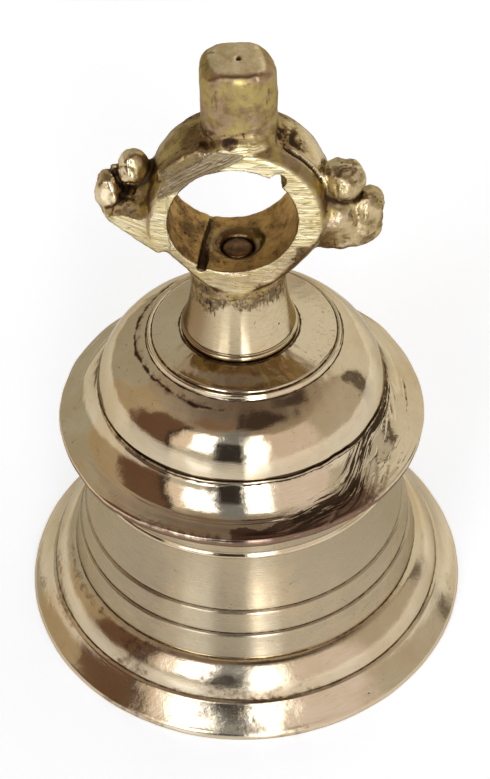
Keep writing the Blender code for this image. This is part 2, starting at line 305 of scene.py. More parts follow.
class Surface(Tree):
    """A material."""

    def __init__(self, name):
        self.material = bpy.data.materials.new(name)
        self.material.use_nodes = True
        super().__init__(self.material.node_tree)
        self.shader = self.tree.nodes["Principled BSDF"].inputs
        self.where = self.node("ShaderNodeTexCoord", "Object", {})

    def value(self, name):
        """A number kept on the mesh's points."""
        return self.node("ShaderNodeAttribute", "Fac", {}, attribute_name=name)

    def vector(self, name, scale=None):
        """A vector kept on the mesh's points, stretched if a scale is given."""
        vector = self.node("ShaderNodeAttribute", "Vector", {}, attribute_name=name)
        return self.stretched(vector, scale) if scale else vector

    def stretched(self, vector, scale):
        return self.node("ShaderNodeMapping", "Vector", {"Vector": vector, "Scale": scale})

    def bump(self, height, distance, strength=1.0, below=None):
        inputs = {"Distance": distance * MM, "Strength": strength, "Height": height}
        if below is not None:
            inputs["Normal"] = below
        return self.node("ShaderNodeBump", "Normal", inputs)

    def finish(self, colour, roughness, normal=None, metallic=1.0, anisotropic=0.0):
        self.put(self.shader["Base Color"], colour)
        self.put(self.shader["Roughness"], roughness)
        self.put(self.shader["Metallic"], metallic)
        if metallic == 1.0:
            # painted shade on every metal's glancing reflections
            self.shader["Specular Tint"].default_value = (*GLANCING_SHADE_TINT, 1)
        if normal is not None:
            self.put(self.shader["Normal"], normal)
        if anisotropic:
            self.shader["Anisotropic"].default_value = anisotropic
            self.shader["Anisotropic Rotation"].default_value = 0.25
            tangent = self.node("ShaderNodeTangent", "Tangent", {}, direction_type="RADIAL", axis="Z")
            self.put(self.shader["Tangent"], tangent)
        return self.material


# ---------------------------------------------------------------- the bell's materials

GLANCING_SHADE_TINT = (0.62, 0.57, 0.48)  # painted shade: dims every metal's glancing reflections, holding down the reflection of the bright floor
BELL_METAL = (0.60, 0.505, 0.355)
BELL_WARM = (0.52, 0.40, 0.245)
# the bell metal darkened as painted shade, so the satin waist and bands look darker than the polished metal
BELL_SATIN_SHADED = (0.385, 0.32, 0.215)
TARNISH = (0.055, 0.034, 0.020)
BROWN_TARNISH = (0.17, 0.105, 0.045)
# brown of the stains, also used for the painted dark reflection on the rim's front
BELL_STAIN_AND_DARK_REFLECTION = (0.20, 0.125, 0.085)


def bell_dirt(s, cloud, ragged, scar):
    """Where turned bell metal is black: grime, pits, scars, hair lines and the strokes on the crown plate."""
    grime = s.plus(s.value("grime"), s.sway(ragged, 1.2))
    pits = s.span(s.noise(s.where, 800, 2, 0.5), 0.755, 0.80)
    dirt = s.larger(s.larger(s.span(grime, 0.28, 0.72), pits), scar)
    bent = s.noise(s.stretched(s.where, (1.0, 1.0, 2.2)), 75, 2, 0.5, 1.6)
    hair = s.span(s.math("ABSOLUTE", s.minus(bent, 0.5)), 0.0, 0.005, 0.42, 0.0)
    hair = s.times(hair, s.span(ragged, 0.44, 0.52))
    dirt = s.larger(dirt, s.times(hair, s.span(cloud, 0.46, 0.52)))
    spokes = s.noise(s.vector("lathe", (34, 34, 55)), 1.0, 3, 0.6, 0.3)
    spokes = s.times(s.span(spokes, 0.58, 0.66, 0.0, 0.6), s.value("dusty"))
    return s.larger(dirt, s.times(spokes, s.span(ragged, 0.42, 0.5)))


def bell_surface(name, metal, roughness, lathe_marks, ripple=0.0, anisotropic=0.0):
    """Turned bell metal: bright, with grime in its grooves, scars and fine polishing marks round it."""
    s = Surface(name)
    cloud = s.noise(s.where, 30, 4, 0.62)
    ragged = s.noise(s.where, 420, 4, 0.65)
    brushed = s.noise(s.vector("lathe", (9, 9, 240)), 1.0, 4, 0.7)
    colour = s.mix(s.span(cloud, 0.42, 0.70, 0.0, 0.8), metal, BELL_WARM)
    colour = s.mix(s.span(brushed, 0.42, 0.72, 0.0, 0.45), colour, BELL_WARM)
    # the stain value is partly real stain and partly a painted dark reflection on the rim
    stain = s.span(s.plus(s.value("stain"), s.sway(ragged, 1.1)), 0.25, 0.7)
    colour = s.mix(stain, colour, BELL_STAIN_AND_DARK_REFLECTION)
    streaks = s.noise(s.vector("flow", (0.09, 1.15, 1.0)), 1.0, 4, 0.62, 0.5)
    torn = s.value("scar")
    scar = s.minus(s.times(torn, 0.20), s.minus(0.60, streaks))
    scar = s.times(s.span(scar, 0.0, 0.05), s.span(torn, 0.04, 0.3))
    dirt = bell_dirt(s, cloud, ragged, scar)
    colour = s.mix(dirt, colour, TARNISH)
    rough = s.span(brushed, 0.3, 0.8, roughness * 0.75, roughness * 1.35)
    rough = s.plus(s.plus(rough, s.times(dirt, 0.35)), s.times(stain, 0.08))
    normal = s.bump(brushed, 0.022, lathe_marks)
    normal = s.bump(s.times(torn, streaks), -0.5, 0.9, normal)
    if ripple:
        normal = s.bump(s.noise(s.where, 150, 3, 0.5), 0.05, ripple, normal)
        normal = s.bump(s.noise(s.where, 560, 4, 0.7), 0.042, ripple, normal)
    return s.finish(colour, rough, normal, anisotropic=anisotropic)


def inside_surface():
    """The inside of the casting: skinned by the mould, turned roughly near the lip, never polished."""
    s = Surface("bell_inside")
    cloud = s.noise(s.where, 40, 5, 0.6)
    colour = s.mix(s.span(cloud, 0.35, 0.7), (0.36, 0.27, 0.15), (0.15, 0.10, 0.055))
    normal = s.bump(s.noise(s.vector("lathe", (3, 3, 120)), 3.0, 3, 0.6), 0.15, 0.5)
    normal = s.bump(s.noise(s.where, 500, 4, 0.6), 0.25, 0.5, normal)
    return s.finish(colour, s.span(cloud, 0.3, 0.7, 0.38, 0.6), normal)


def bell_materials():
    return {
        "polished": bell_surface("bell_polished", BELL_METAL, 0.075, 0.6, ripple=0.7),
        # the satin bands take the bell metal darkened as painted shade
        "satin": bell_surface("bell_satin_shaded", BELL_SATIN_SHADED, 0.25, 0.8, anisotropic=0.97),
        "worn": bell_surface("bell_worn", BELL_METAL, 0.14, 0.9, ripple=1.2),
        "inside": inside_surface(),
    }


# ---------------------------------------------------------------- bell body

CROWN_SHIFT = (1.4, 1.3)  # how far the crown plate's bead sits off the axis


def body_outline():
    """The casting's outline, from the seat of the hanger down its outside and up its inside."""
    z = SEAT_Z
    m = MOUTH_R
    outside = [
        (18.9, z - 0.3, 0, 0.3, "polished"),
        (29.0, z - 3.3, 0.12, 0.8, "polished"),  # crown plate
        (29.5, z - 3.9, 0.1, 0.2, "polished"),
        (30.6, z - 4.2, -0.45, 0.2, "polished"),  # bead round the plate
        (31.1, z - 5.3, 0.05, 0.2, "polished"),
        (46.0, z - 22.9, -3.45, 0.4, "polished"),  # dome
        (45.5, z - 23.4, 0, 0.2, "polished"),
        (46.5, z - 24.5, -0.3, 0.2, "polished"),  # fine bead at the foot of the dome
        (46.4, z - 25.1, 0, 0.2, "polished"),
        (53.2, z - 33.5, 0.8, 0.45, "polished"),  # shoulder flare
        (54.0, z - 33.9, -0.12, 0.3, "polished"),
        (58.0, z - 35.4, -0.25, 0.45, "polished"),  # rim
        (59.3, z - 36.6, -0.4, 0.3, "polished"),
        (58.7, z - 38.6, -0.35, 0.35, "polished"),
        (52.5, z - 40.8, 0.1, 0.9, "polished"),  # underside of the rim
        (51.7, z - 42.0, 0.2, 0.4, "satin"),
        (51.6, z - 50.4, 0, 0.9, "satin"),  # band under the rim
        (51.5, z - 50.6, 0, 0.15, "polished"),
        (50.9, z - 53.1, -1.05, 0.2, "polished"),  # bright bead
        (50.2, z - 53.3, 0, 0.15, "polished"),
        (53.5, z - 75.2, 0.7, 1.2, "satin"),  # waist
        (53.6, z - 75.9, 0, 0.25, "satin"),
        (53.3, z - 76.3, 0, 0.2, "satin"),
        (54.3, z - 76.9, 0, 0.25, "satin"),
        (56.0, z - 84.6, 0.05, 0.8, "satin"),  # upper plain band
        (55.8, z - 85.1, 0, 0.2, "satin"),
        (56.7, z - 85.6, 0, 0.25, "satin"),
        (58.6, z - 94.2, 0.1, 0.8, "satin"),  # lower plain band
        (58.5, z - 95.2, 0, 0.25, "worn"),
        (60.5, z - 95.9, -0.1, 0.3, "worn"),
        (66.7, z - 105.8, -1.1, 0.5, "worn"),  # moulding
        (66.6, z - 106.6, 0, 0.25, "worn"),
        (67.7, z - 107.2, 0, 0.25, "worn"),
        (m - 0.5, z - 114.6, 0.45, 0.55, "worn"),  # lip
        (m - 1.6, 0.0, -1.1, 0.4, "worn"),
    ]
    inside = [
        (67.6, 0.0, 0, 1.5, "polished"),
        (66.7, 0.7, 0, 0.4, "inside"),
        (50.6, 30.0, 0.8, 1.5, "inside"),
        (45.8, 72.0, 1.0, 2.0, "inside"),
        (17.0, z - 9.0, 11.5, 1.2, "inside"),
        (8.4, z - 9.0, 0, 2.0, "inside"),
        (8.4, z - 0.1, 0, 2.0, "inside"),
    ]
    return outline((8.4, z - 0.1), outside + inside)


BODY = body_outline()


def along_body(r, drop):
    """How far along the body's outline its point nearest to radius r, at a drop below the seat, lies."""
    return travel_at(BODY[0], r, SEAT_Z - drop)


PLATE_EDGE = along_body(29.0, 3.3)
SCRIBE = along_body(33.8, 6.6)
FOOT = along_body(45.8, 23.4)  # foot of the dome
CREST = along_body(53.6, 33.8)  # where the shoulder turns into the rim
EDGE = along_body(59.3, 36.6)
UNDER = along_body(52.5, 40.8)  # inner end of the rim's underside
BAND_END = along_body(50.2, 53.3)
WAIST_LOW = along_body(58.5, 95.2)
MOULDING_END = along_body(66.6, 106.6)
LIP = along_body(67.7, 107.2)
MOUTH = along_body(MOUTH_R - 1.6, SEAT_Z)
SEAMS = [along_body(*spot) for spot in ((29.4, 3.8), (31.1, 5.3), (53.3, 76.2), (55.8, 85.1), (19.0, 0.3))]
SEAMS += [WAIST_LOW, MOULDING_END]
SHOULDER_R = 54.0
LIP_R = 66.0


def scratches(count, along, size, width, depth, slant, around=None, clump=None):
    """Random scratches as rows of (angle, travel, half length, half width, depth, slant)."""
    rows = []
    for _ in range(count):
        at = rng.uniform(*around) if clump is None else rng.normal(*clump)
        start = rng.uniform(*along)
        half_length = rng.uniform(*size) / 2
        half_width = rng.uniform(*width) / 2
        rows.append((at, start, half_length, half_width, rng.uniform(*depth), rng.normal(*slant)))
    return rows


FULL_TURN = (-3.1, 3.1)
GOUGES = scratches(
    16, (FOOT + 2.0, CREST + 1.5), (8, 20), (1.0, 1.9), (0.15, 0.35), (-0.22, 0.12), clump=(1.15, 0.28)
) + scratches(
    16, (CREST - 4, EDGE - 0.5), (8, 18), (1.0, 1.8), (0.12, 0.32), (-0.30, 0.12), clump=(0.72, 0.2)
)
NICKS = scratches(
    34, (LIP, MOUTH - 1), (0.8, 2.6), (0.4, 0.8), (0.06, 0.16), (0.6, 0.6), around=FULL_TURN
) + scratches(
    30, (BAND_END, LIP), (0.6, 2.2), (0.3, 0.6), (0.04, 0.12), (0.6, 0.7), around=FULL_TURN
)


def scratch_depth(rows, angle, travel, radius):
    """Depth in mm of all scratches together over a grid of angle by travel."""
    depth = np.zeros(np.broadcast(angle, travel).shape)
    wobble = 0.5 * np.sin(angle * 37) + 0.3 * np.sin(angle * 91 + travel)
    for at, start, half_length, half_width, deep, slant in rows:
        across = wrap(angle - at) * radius
        up = travel - start - math.tan(slant) * across + 0.25 * wobble
        reach = np.abs(across) / half_length
        width = half_width * np.sqrt(np.clip(1 - reach**2, 0, 1)) + 1e-6
        cut = deep * np.clip(1 - np.abs(up) / width, 0, 1) * (reach < 1)
        depth = np.maximum(depth, cut)
    return depth


def scribed_side(angle):
    """1 on the left of the dome, where the hand-scribed line runs."""
    return fall(angle, -0.5, 0.12) * ramp(angle, -2.7, -2.3)


def grooves(angle, s):
    """Strengths of the lines round the bell: the two at the dome's foot, and one scribed by hand."""
    torn = window(angle, 0.1, 0.9, 1.8, 2.4)
    drift = round_noise(angle, s, 0.16, 3) + 0.4 * round_noise(angle, s, 0.05, 4)
    wander = drift * (0.22 + 0.6 * torn)
    upper = hump(s - FOOT - wander, 0.42 + 0.24 * torn + 0.10 * drift)
    lower = 0.9 * hump(s - FOOT - 1.75 - 0.7 * wander, 0.36) * (1 - 0.5 * torn)
    breaks = 0.8 + 0.2 * ramp(round_noise(angle, s, 0.05, 8), -0.6, 0.1)
    thick = 0.48 + 0.26 * round_noise(angle, s, 0.09, 9)
    scribed = scribed_side(angle) * breaks * hump(s - SCRIBE - 0.6 * drift, thick)
    return upper, lower, scribed


def cuts(angle, s):
    upper, lower, scribed = grooves(angle, s)
    lines = np.maximum(np.maximum(0.55 * upper, 0.4 * lower), 0.14 * scribed)
    gouged = scratch_depth(GOUGES, angle, s, SHOULDER_R)
    return np.maximum(np.maximum(gouged, scratch_depth(NICKS, angle, s, LIP_R)), lines)


def waves(angle, s):
    """How the polished surface waves, where it was ground and buffed by hand."""
    rise = 1 / 11
    hand = round_noise(angle, s, 0.9, 21, 5, rise) + 0.45 * round_noise(angle, s, 0.35, 22, 5, rise)
    hand += 0.22 * round_noise(angle, s, 0.16, 23, 1.75, rise)
    polished = 1 - window(s, UNDER - 0.5, UNDER + 0.5, WAIST_LOW - 0.5, WAIST_LOW + 0.5)
    outside = fall(s, MOUTH - 1, MOUTH)
    return outside * hand * (0.006 + 0.085 * polished + 0.035 * ramp(s, LIP - 1, LIP + 1))


def rim_wander(angle, s):
    """How the rim, the crest above it and the lip stray from true circles."""
    slow = round_noise(angle, s, 0.35, 31) * 0.45 + round_noise(angle, s, 0.12, 32) * 0.18
    crest = 0.22 * round_noise(angle, s, 0.22, 33) * hump(s - CREST, 1.2)
    return slow * hump(s - EDGE, 3.2) + crest + 0.12 * slow * hump(s - MOUTH + 4, 3.0)


def bell_offset(angle, s):
    return waves(angle, s) + rim_wander(angle, s) - cuts(angle, s)


def shift_crown(bell):
    """Moves the bead round the crown plate off centre, as it was turned in a second setting."""
    r, z = BODY[0].T
    amount = window(r, 21, 29, 32, 41) * (z > SEAT_Z - 18)
    where = np.empty(len(bell.data.vertices) * 3, np.float32)
    bell.data.vertices.foreach_get("co", where)
    where = where.reshape(-1, len(r), 3)
    for axis, shift in enumerate(CROWN_SHIFT):
        where[:, :, axis] += shift * MM * amount
    bell.data.vertices.foreach_set("co", where.ravel())
    bell.data.update()


def bell_stain_and_dark_reflection(angle, s, scribed):
    """Brown on the rim's side and shoulder, partly stain and partly a painted dark reflection, and brown
    stain in blotches on the lip and along the scribed line.
    """
    # the rim's side: partly brown stain, partly a painted dark reflection
    side = window(s, EDGE - 0.6, EDGE + 0.4, EDGE + 1.6, EDGE + 3.4)
    rim_side_stain_and_reflection = side * (0.3 + 0.65 * window(angle, -1.7, -1.1, 0.8, 1.4))
    jag = 2.2 * ramp(round_noise(angle, s, 0.07, 91, rise=0.004, octaves=3), -0.4, 0.6)
    above_edge = fall(s, EDGE - 0.5, EDGE + 0.5)
    # above the rim's edge on the front: partly stain, partly a painted dark reflection with a jagged top
    smear_and_dark_reflection = ramp(s, CREST + 0.4 + jag, CREST + 0.9 + jag) * above_edge
    smear_and_dark_reflection = smear_and_dark_reflection * window(angle, -0.14, -0.02, 0.55, 1.0)
    # front left of the shoulder flare: partly brown stain, partly a painted dark reflection
    brown = ramp(s, CREST + 1.5, EDGE - 1.0) * above_edge * window(angle, -0.9, -0.4, 0.0, 0.1)
    unrolled = np.broadcast_arrays(44 * angle, 2.4 * s, 0.0)
    blotch = noise(np.stack(unrolled, -1).reshape(-1, 3), 9.0, 95).reshape(jag.shape)
    blotch = ramp(blotch, 0.05, 0.55) * window(angle, -2.2, -1.6, -0.1, 0.9)
    blotch = blotch * window(s, WAIST_LOW, WAIST_LOW + 2, MOUTH - 1, MOUTH)
    near_scribe = fall(angle, -0.5, 0.1) * ramp(angle, -2.7, -2.3) * hump(s - SCRIBE + 0.4, 1.5)
    stain = rim_side_stain_and_reflection
    for part in (0.95 * smear_and_dark_reflection, 0.5 * brown, 0.42 * blotch, 0.46 * near_scribe, 0.8 * scribed):
        stain = np.maximum(stain, part)
    return stain


def bell_grime(angle, s, upper, lower, scribed):
    """Black grime: in cuts and seams, beside the dome's foot, above the lip, and in dashes on the band."""
    seams = np.max([hump(s - seam, 0.32) for seam in SEAMS], axis=0)
    beside = hump(s - FOOT - 0.8, 1.4, 4) * (0.30 + 0.14 * fall(angle, -0.8, -0.2))
    above_lip = hump(s - MOULDING_END + 0.7, 1.3, 4) * fall(np.abs(angle + 0.1), 0.4, 0.9)
    dashes = ramp(round_noise(angle, s, 0.022, 96), -0.1, 0.3) * fall(np.abs(angle - 0.2), 0.16, 0.24)
    dashes = dashes * hump(s - UNDER - 2.6 - 0.8 * angle, 0.3)
    grime = np.clip(scratch_depth(GOUGES, angle, s, SHOULDER_R) / 0.45, 0, 0.5)
    for part in (
        scratch_depth(NICKS, angle, s, LIP_R) / 0.2,
        0.85 * seams,
        upper**0.5,
        0.85 * lower**0.6,
        0.74 * scribed,
        beside,
        0.36 * above_lip,
        0.9 * dashes,
    ):
        grime = np.maximum(grime, part)
    return grime


def bell_scar(angle, s):
    """Torn streaks that sweep from the dome's foot over the right shoulder, and the distance across them."""
    out = fall(angle, 0.55, 1.05)
    across = s - (FOOT + 2.6 + 11.4 * out + 2.2 * fall(angle, 0.1, 0.55))
    width = 2.3 + 2.9 * np.sin(math.pi * out) + 1.2 * out
    scar = hump(across, width) * window(angle, 0.05, 0.35, 1.95, 2.45)
    scar *= 1 - 0.3 * np.sin(math.pi * out)
    scar *= window(s, FOOT + 0.2, FOOT + 1.5, EDGE - 0.2, EDGE + 0.8)
    return scar, across


def build_bell():
    bell = turned_object("bell_shell", BODY, bell_materials(), BELL_STEPS, bell_offset)
    shift_crown(bell)
    angle = columns(BELL_STEPS)[:, None]
    s = travel_of(BODY[0])[None, :]
    upper, lower, scribed = grooves(angle, s)
    scar, across = bell_scar(angle, s)
    plate = window(s, 14, 15, 20, PLATE_EDGE)
    flow = np.broadcast_arrays(SHOULDER_R * angle, across, 0.0)
    point_values(
        bell,
        # stain: partly real stain, partly a painted dark reflection on the rim
        stain=bell_stain_and_dark_reflection(angle, s, scribed),
        grime=bell_grime(angle, s, upper, lower, scribed),
        scar=scar,
        dusty=plate * (0.35 + 0.65 * window(angle, 0.7, 1.2, 2.2, 2.6)),
        flow=np.stack(flow, -1).reshape(-1, 3),
    )
    return bell


# ---------------------------------------------------------------- cast hanger, as a distance field

FACE_Y = -RING_HALF  # plane of the ring's filed front
HOLE_X = -1.3
PEG_X = 1.4
CHAMFER = ((-10.5, FACE_Y, RING_Z + 15.9), (-0.21, -0.90, 0.37))  # dull facet, upper left of the ring
LUG_FACET = ((-24.0, -13.5, RING_Z - 6.0), (-0.34, -0.93, 0.06))  # filed flat of the left lug


def distance(*parts):
    return np.sqrt(sum(part * part for part in parts))


def join(a, b, blend):
    """Union of two distance fields with a rounded corner."""
    h = np.clip(0.5 + 0.5 * (b - a) / blend, 0, 1)
    return b + (a - b) * h - blend * h * (1 - h)


def keep(a, b, blend):
    """Common part of two distance fields with a rounded edge."""
    return -join(-a, -b, blend)


def cut(a, b, blend):
    """Distance field a with b taken out of it."""
    return keep(a, -b, blend)


def bead(p, centre, radii):
    q = p - np.array(centre)
    k0 = np.linalg.norm(q / radii, axis=1)
    k1 = np.linalg.norm(q / np.square(radii), axis=1)
    return k0 * (k0 - 1) / np.maximum(k1, 1e-9)


def plane(p, point, normal):
    n = np.array(normal, float)
    n /= np.linalg.norm(n)
    return (p - np.array(point)) @ n


def arc_bar(p, centre, radius, y, span, thickness):
    """A bar bent round an axis along Y, over a span of degrees from +X towards +Z, thin at its ends."""
    dx = p[:, 0] - centre[0]
    dz = p[:, 2] - centre[1]
    turn = np.degrees(np.arctan2(dz, dx)) % 360
    middle = sum(span) / 2
    half = (span[1] - span[0]) / 2
    fade = ramp(half - np.abs(turn - middle), -6, 10)
    return distance(distance(dx, dz) - radius, p[:, 1] - y) - thickness * (2 * fade - 1)


def ring_field(p):
    x, y, z = p.T
    depth = np.clip(y / RING_HALF, -1, 1)
    crown = 27.5 - np.where(depth < 0, 2.5, 3.1) * depth**2
    middle = 1.0 + 1.2 * np.minimum(depth, 0)
    outside = distance(x - middle, z - RING_Z + 1.0) - crown
    ring = keep(outside, np.abs(y) - RING_HALF, 1.4)
    ring = keep(ring, y - RING_HALF + 0.2, 5.0)
    ring = keep(ring, plane(p, (-19.4, FACE_Y, RING_Z - 12.2), (-0.76, -0.22, -0.61)), 1.4)
    ring = keep(ring, plane(p, (17.5, FACE_Y, RING_Z - 15.5), (0.60, -0.62, -0.50)), 1.6)
    return cut(ring, arc_bar(p, (0.0, RING_Z - 1.0), 26.6, -7.6, (18, 62), 0.8), 0.8)


def below_peg(p):
    """1 on the left of the ring and below the peg, where the dull facet lies."""
    return fall(p[:, 2], RING_Z + 23.5, RING_Z + 24.5) * fall(p[:, 0], 1, 3)


def ridge_field(p):
    """Smooth ridge that the file has missed, outside the dull facet."""
    return arc_bar(p, (-1.0, RING_Z - 0.5), 24.8, -9.0, (102, 150), 2.3)


def left_lug(p):
    z = RING_Z
    lug = bead(p, (-31.0, -1.5, z - 6.0), (10.0, 13.0, 9.2))
    lug = join(lug, bead(p, (-27.0, -2.0, z - 10.5), (5.8, 13.0, 6.4)), 2.5)
    lug = join(lug, bead(p, (-24.5, -4.0, z - 4.5), (6.0, 13.0, 9.0)), 2.0)
    lug = keep(lug, plane(p, *LUG_FACET), 0.4)
    lug = keep(lug, plane(p, (-36.9, -9.5, z - 2.4), (-0.60, -0.40, -0.80)), 1.2)
    lug = keep(lug, plane(p, (-39.0, -6.0, z - 2.0), (-0.85, -0.30, -0.50)), 1.2)
    lug = join(lug, bead(p, (-25.0, 1.0, z + 3.0), (6.0, 7.5, 8.0)), 2.0)
    upper = bead(p, (-29.6, 0.0, z + 10.6), (5.0, 5.3, 5.8))
    upper = keep(upper, plane(p, (-29.0, -3.8, z + 13.4), (0.15, -0.75, 0.65)), 1.0)
    upper = keep(upper, plane(p, (-32.6, -3.0, z + 12.0), (-0.75, -0.55, 0.35)), 0.8)
    upper = keep(upper, plane(p, (-27.2, -4.4, z + 11.0), (0.50, -0.82, 0.28)), 0.5)
    lug = join(lug, upper, 0.9)
    outer = bead(p, (-36.9, -0.2, z + 2.0), (4.4, 5.6, 8.0))
    outer = keep(outer, plane(p, (-38.5, -4.6, z + 2.0), (-0.45, -0.88, 0.15)), 0.9)
    lug = join(lug, outer, 0.9)
    return join(lug, bead(p, (-35.2, 1.0, z + 10.6), (1.5, 1.4, 1.3)), 0.7)


def right_lug(p):
    z = RING_Z
    lug = bead(p, (29.5, -3.6, z - 3.6), (7.6, 8.2, 7.6))
    lug = join(lug, bead(p, (30.6, -4.0, z - 10.4), (8.2, 6.6, 6.0)), 3.4)
    lug = join(lug, bead(p, (26.0, -1.0, z - 6.0), (5.0, 9.0, 12.0)), 3.0)
    lug = join(lug, bead(p, (37.4, -4.4, z - 8.4), (5.6, 5.4, 5.6)), 2.4)
    outer = bead(p, (38.3, -3.8, z - 3.0), (5.3, 6.2, 5.8))
    outer = keep(outer, plane(p, (40.0, -8.2, z - 1.6), (0.45, -0.84, 0.30)), 0.9)
    lug = join(lug, outer, 2.0)
    upper = bead(p, (30.6, -4.0, z + 7.4), (6.6, 6.4, 6.4))
    upper = keep(upper, plane(p, (27.4, -8.6, z + 8.6), (-0.50, -0.84, 0.2)), 1.4)
    upper = keep(upper, plane(p, (31.6, -6.6, z + 12.0), (0.20, -0.42, 0.88)), 0.9)
    lug = join(lug, upper, 1.6)
    lug = join(lug, bead(p, (27.5, -8.6, z - 3.0), (4.2, 3.4, 4.6)), 2.4)
    pits = bead(p, (37.6, -8.6, z + 3.2), (1.9, 1.6, 1.2))
    return cut(lug, pits, 0.8)


def peg_field(p):
    x, y, z = (p - np.array((PEG_X, 0.0, 0.0))).T
    swell = 0.012 * (TOP_Z - z)
    side = (np.abs(x / (10.7 + swell)) ** 2.6 + np.abs(y / (9.3 + swell)) ** 2.6) ** (1 / 2.6) * 10.0 - 10.0
    top = plane(p, (0, 0, TOP_Z), (0.015, -0.01, 1))
    peg = keep(side, top, 3.1)
    peg = keep(peg, plane(p, (-8.0, -3.0, TOP_Z - 1.4), (-0.62, -0.20, 0.75)), 1.8)
    return keep(peg, plane(p, (10.4, 1.0, TOP_Z - 1.8), (0.66, 0.10, 0.74)), 1.8)


def from_hole(p):
    """Distance outside the ring's hole."""
    return distance(p[:, 0] - HOLE_X, p[:, 2] - RING_Z) - HOLE_R


def across_seam(p):
    """How far right of the seam in the ring's floor a point lies."""
    return p[:, 0] + 8.9 - p[:, 1] * 0.14


def neck_r(z):
    """Radius of the turned neck at a height."""
    rise = np.clip((z - SEAT_Z - 2.5) / (RING_Z - 30.0 - SEAT_Z - 2.5), 0, 1.3)
    return 17.5 - 3.0 * rise - 4 * 0.75 * rise * (1 - np.minimum(rise, 1))


def casting_field(p):
    """Signed distance in mm to the rough casting: ring, lugs, peg and the root of the neck."""
    x, y, z = p.T
    cast = join(ring_field(p), left_lug(p), 1.8)
    cast = join(cast, right_lug(p), 2.2)
    cast = keep(cast, FACE_Y - y, 0.35)
    cast = keep(cast, plane(p, *CHAMFER), 0.35)
    cast = join(cast, ridge_field(p), 1.1)
    peg = np.maximum(peg_field(p), RING_Z + 21.0 - z)
    peg = join(peg, bead(p, (1.5, -7.5, RING_Z + 24.5), (8.5, 4.6, 3.4)), 1.5)
    cast = join(cast, peg, 1.6)
    angle = np.arctan2(x, -y)
    ragged = 0.9 * np.sin(3 * angle + 0.8) + 0.6 * np.sin(7 * angle + 2) + 0.4 * np.sin(13 * angle)
    root = distance(x, y) - neck_r(z) - 0.12
    root = keep(np.maximum(root, z - RING_Z + 20.0), RING_Z - 29.6 + 0.4 * ragged - z, 0.3)
    cast = join(cast, root, 1.6)
    hole = from_hole(p)
    notch = bead(p, (11.8, FACE_Y, RING_Z + 14.6), (2.3, 9.0, 2.3))
    cast = cut(cast, join(hole, notch, 0.6), 0.4)
    seam = distance(across_seam(p), z - RING_FLOOR_Z - 2.1) - 1.4
    cast = cut(cast, seam, 0.5)
    cast = cut(cast, bead(p, (0.3, -0.2, RING_FLOOR_Z + 1.2), (7.4, 6.8, 3.8)), 2.2)
    sink = np.maximum(distance(x, y) - 5.0, np.abs(z - RING_FLOOR_Z) - 4.0)
    cast = cut(cast, sink, 0.8)
    bore = np.maximum(distance(x, y) - 3.4, z - RING_FLOOR_Z)
    cast = np.maximum(cast, -bore)
    cast = cut(cast, distance(x - 1.6, y + 0.2, z - TOP_Z) - 0.75, 0.3)
    corner = np.maximum(
        plane(p, (-1.3, 0, RING_Z + 27.4), (0.30, 0.0, 0.95)),
        np.maximum(
            plane(p, (-2.3, 0, RING_Z + 25.9), (-0.78, 0.0, -0.62)),
            plane(p, (0.1, 0, RING_Z + 25.2), (0.66, 0.0, -0.75)),
        ),
    )
    return cut(cast, np.maximum(corner, np.abs(y + 14.2) - 1.5), 0.2)


def slope(field, p, step=0.05):
    """Direction in which a field grows fastest, at each point."""
    grown = [field(p + step * axis) - field(p - step * axis) for axis in np.eye(3)]
    g = np.stack(grown, 1) / (2 * step)
    return g, np.maximum(np.linalg.norm(g, axis=1), 1e-6)


def sample(field, axes):
    """A field's values over a grid, one layer at a time."""
    samples = np.empty([len(axis) for axis in axes], np.float32)
    yy, zz = np.meshgrid(axes[1], axes[2], indexing="ij")
    for i, x in enumerate(axes[0]):
        layer = np.stack([np.full(yy.size, x), yy.ravel(), zz.ravel()], 1)
        samples[i] = field(layer).reshape(yy.shape)
    return samples


def surface_net(field, low, high, step):
    """Vertices and quads of a field's zero level, from a grid of cells with one vertex each."""
    samples = sample(field, [np.arange(a, b + step, step) for a, b in zip(low, high)])
    cells = tuple(n - 1 for n in samples.shape)
    total = np.zeros((*cells, 3), np.float32)
    count = np.zeros(cells, np.float32)
    square = ((0, 0), (1, 0), (1, 1), (0, 1))
    crossings = []
    for axis in range(3):
        across, beyond = [k for k in range(3) if k != axis]
        lines = np.moveaxis(samples, axis, 0)
        inside = lines < 0
        crosses = inside[:-1] != inside[1:]
        at = np.where(crosses, lines[:-1] / np.where(crosses, lines[:-1] - lines[1:], 1), 0)
        totals = np.moveaxis(total, axis, 0)
        counts = np.moveaxis(count, axis, 0)
        rows, columns = counts.shape[1:]
        for d0, d1 in square:
            part = (slice(None), slice(d0, rows + d0), slice(d1, columns + d1))
            counts += crosses[part]
            totals[..., axis] += at[part]
            totals[..., across] += crosses[part] * d0
            totals[..., beyond] += crosses[part] * d1
        crossings.append((crosses, inside))
    used = count > 0
    number = -np.ones(cells, np.int64)
    number[used] = np.arange(used.sum())
    corner = np.stack(np.nonzero(used), 1)
    vertices = np.array(low) + step * (corner + total[used] / count[used][:, None])
    quads = []
    for axis, (crosses, inside) in enumerate(crossings):
        i, j, k = np.nonzero(crosses[:, 1:-1, 1:-1])
        numbers = np.moveaxis(number, axis, 0)
        quad = np.stack([numbers[i, j + d0, k + d1] for d0, d1 in square], 1)
        inward = inside[i, j + 1, k + 1] == (axis == 1)
        quad[inward] = quad[inward][:, ::-1]
        quads.append(quad)
    return vertices, np.concatenate(quads)


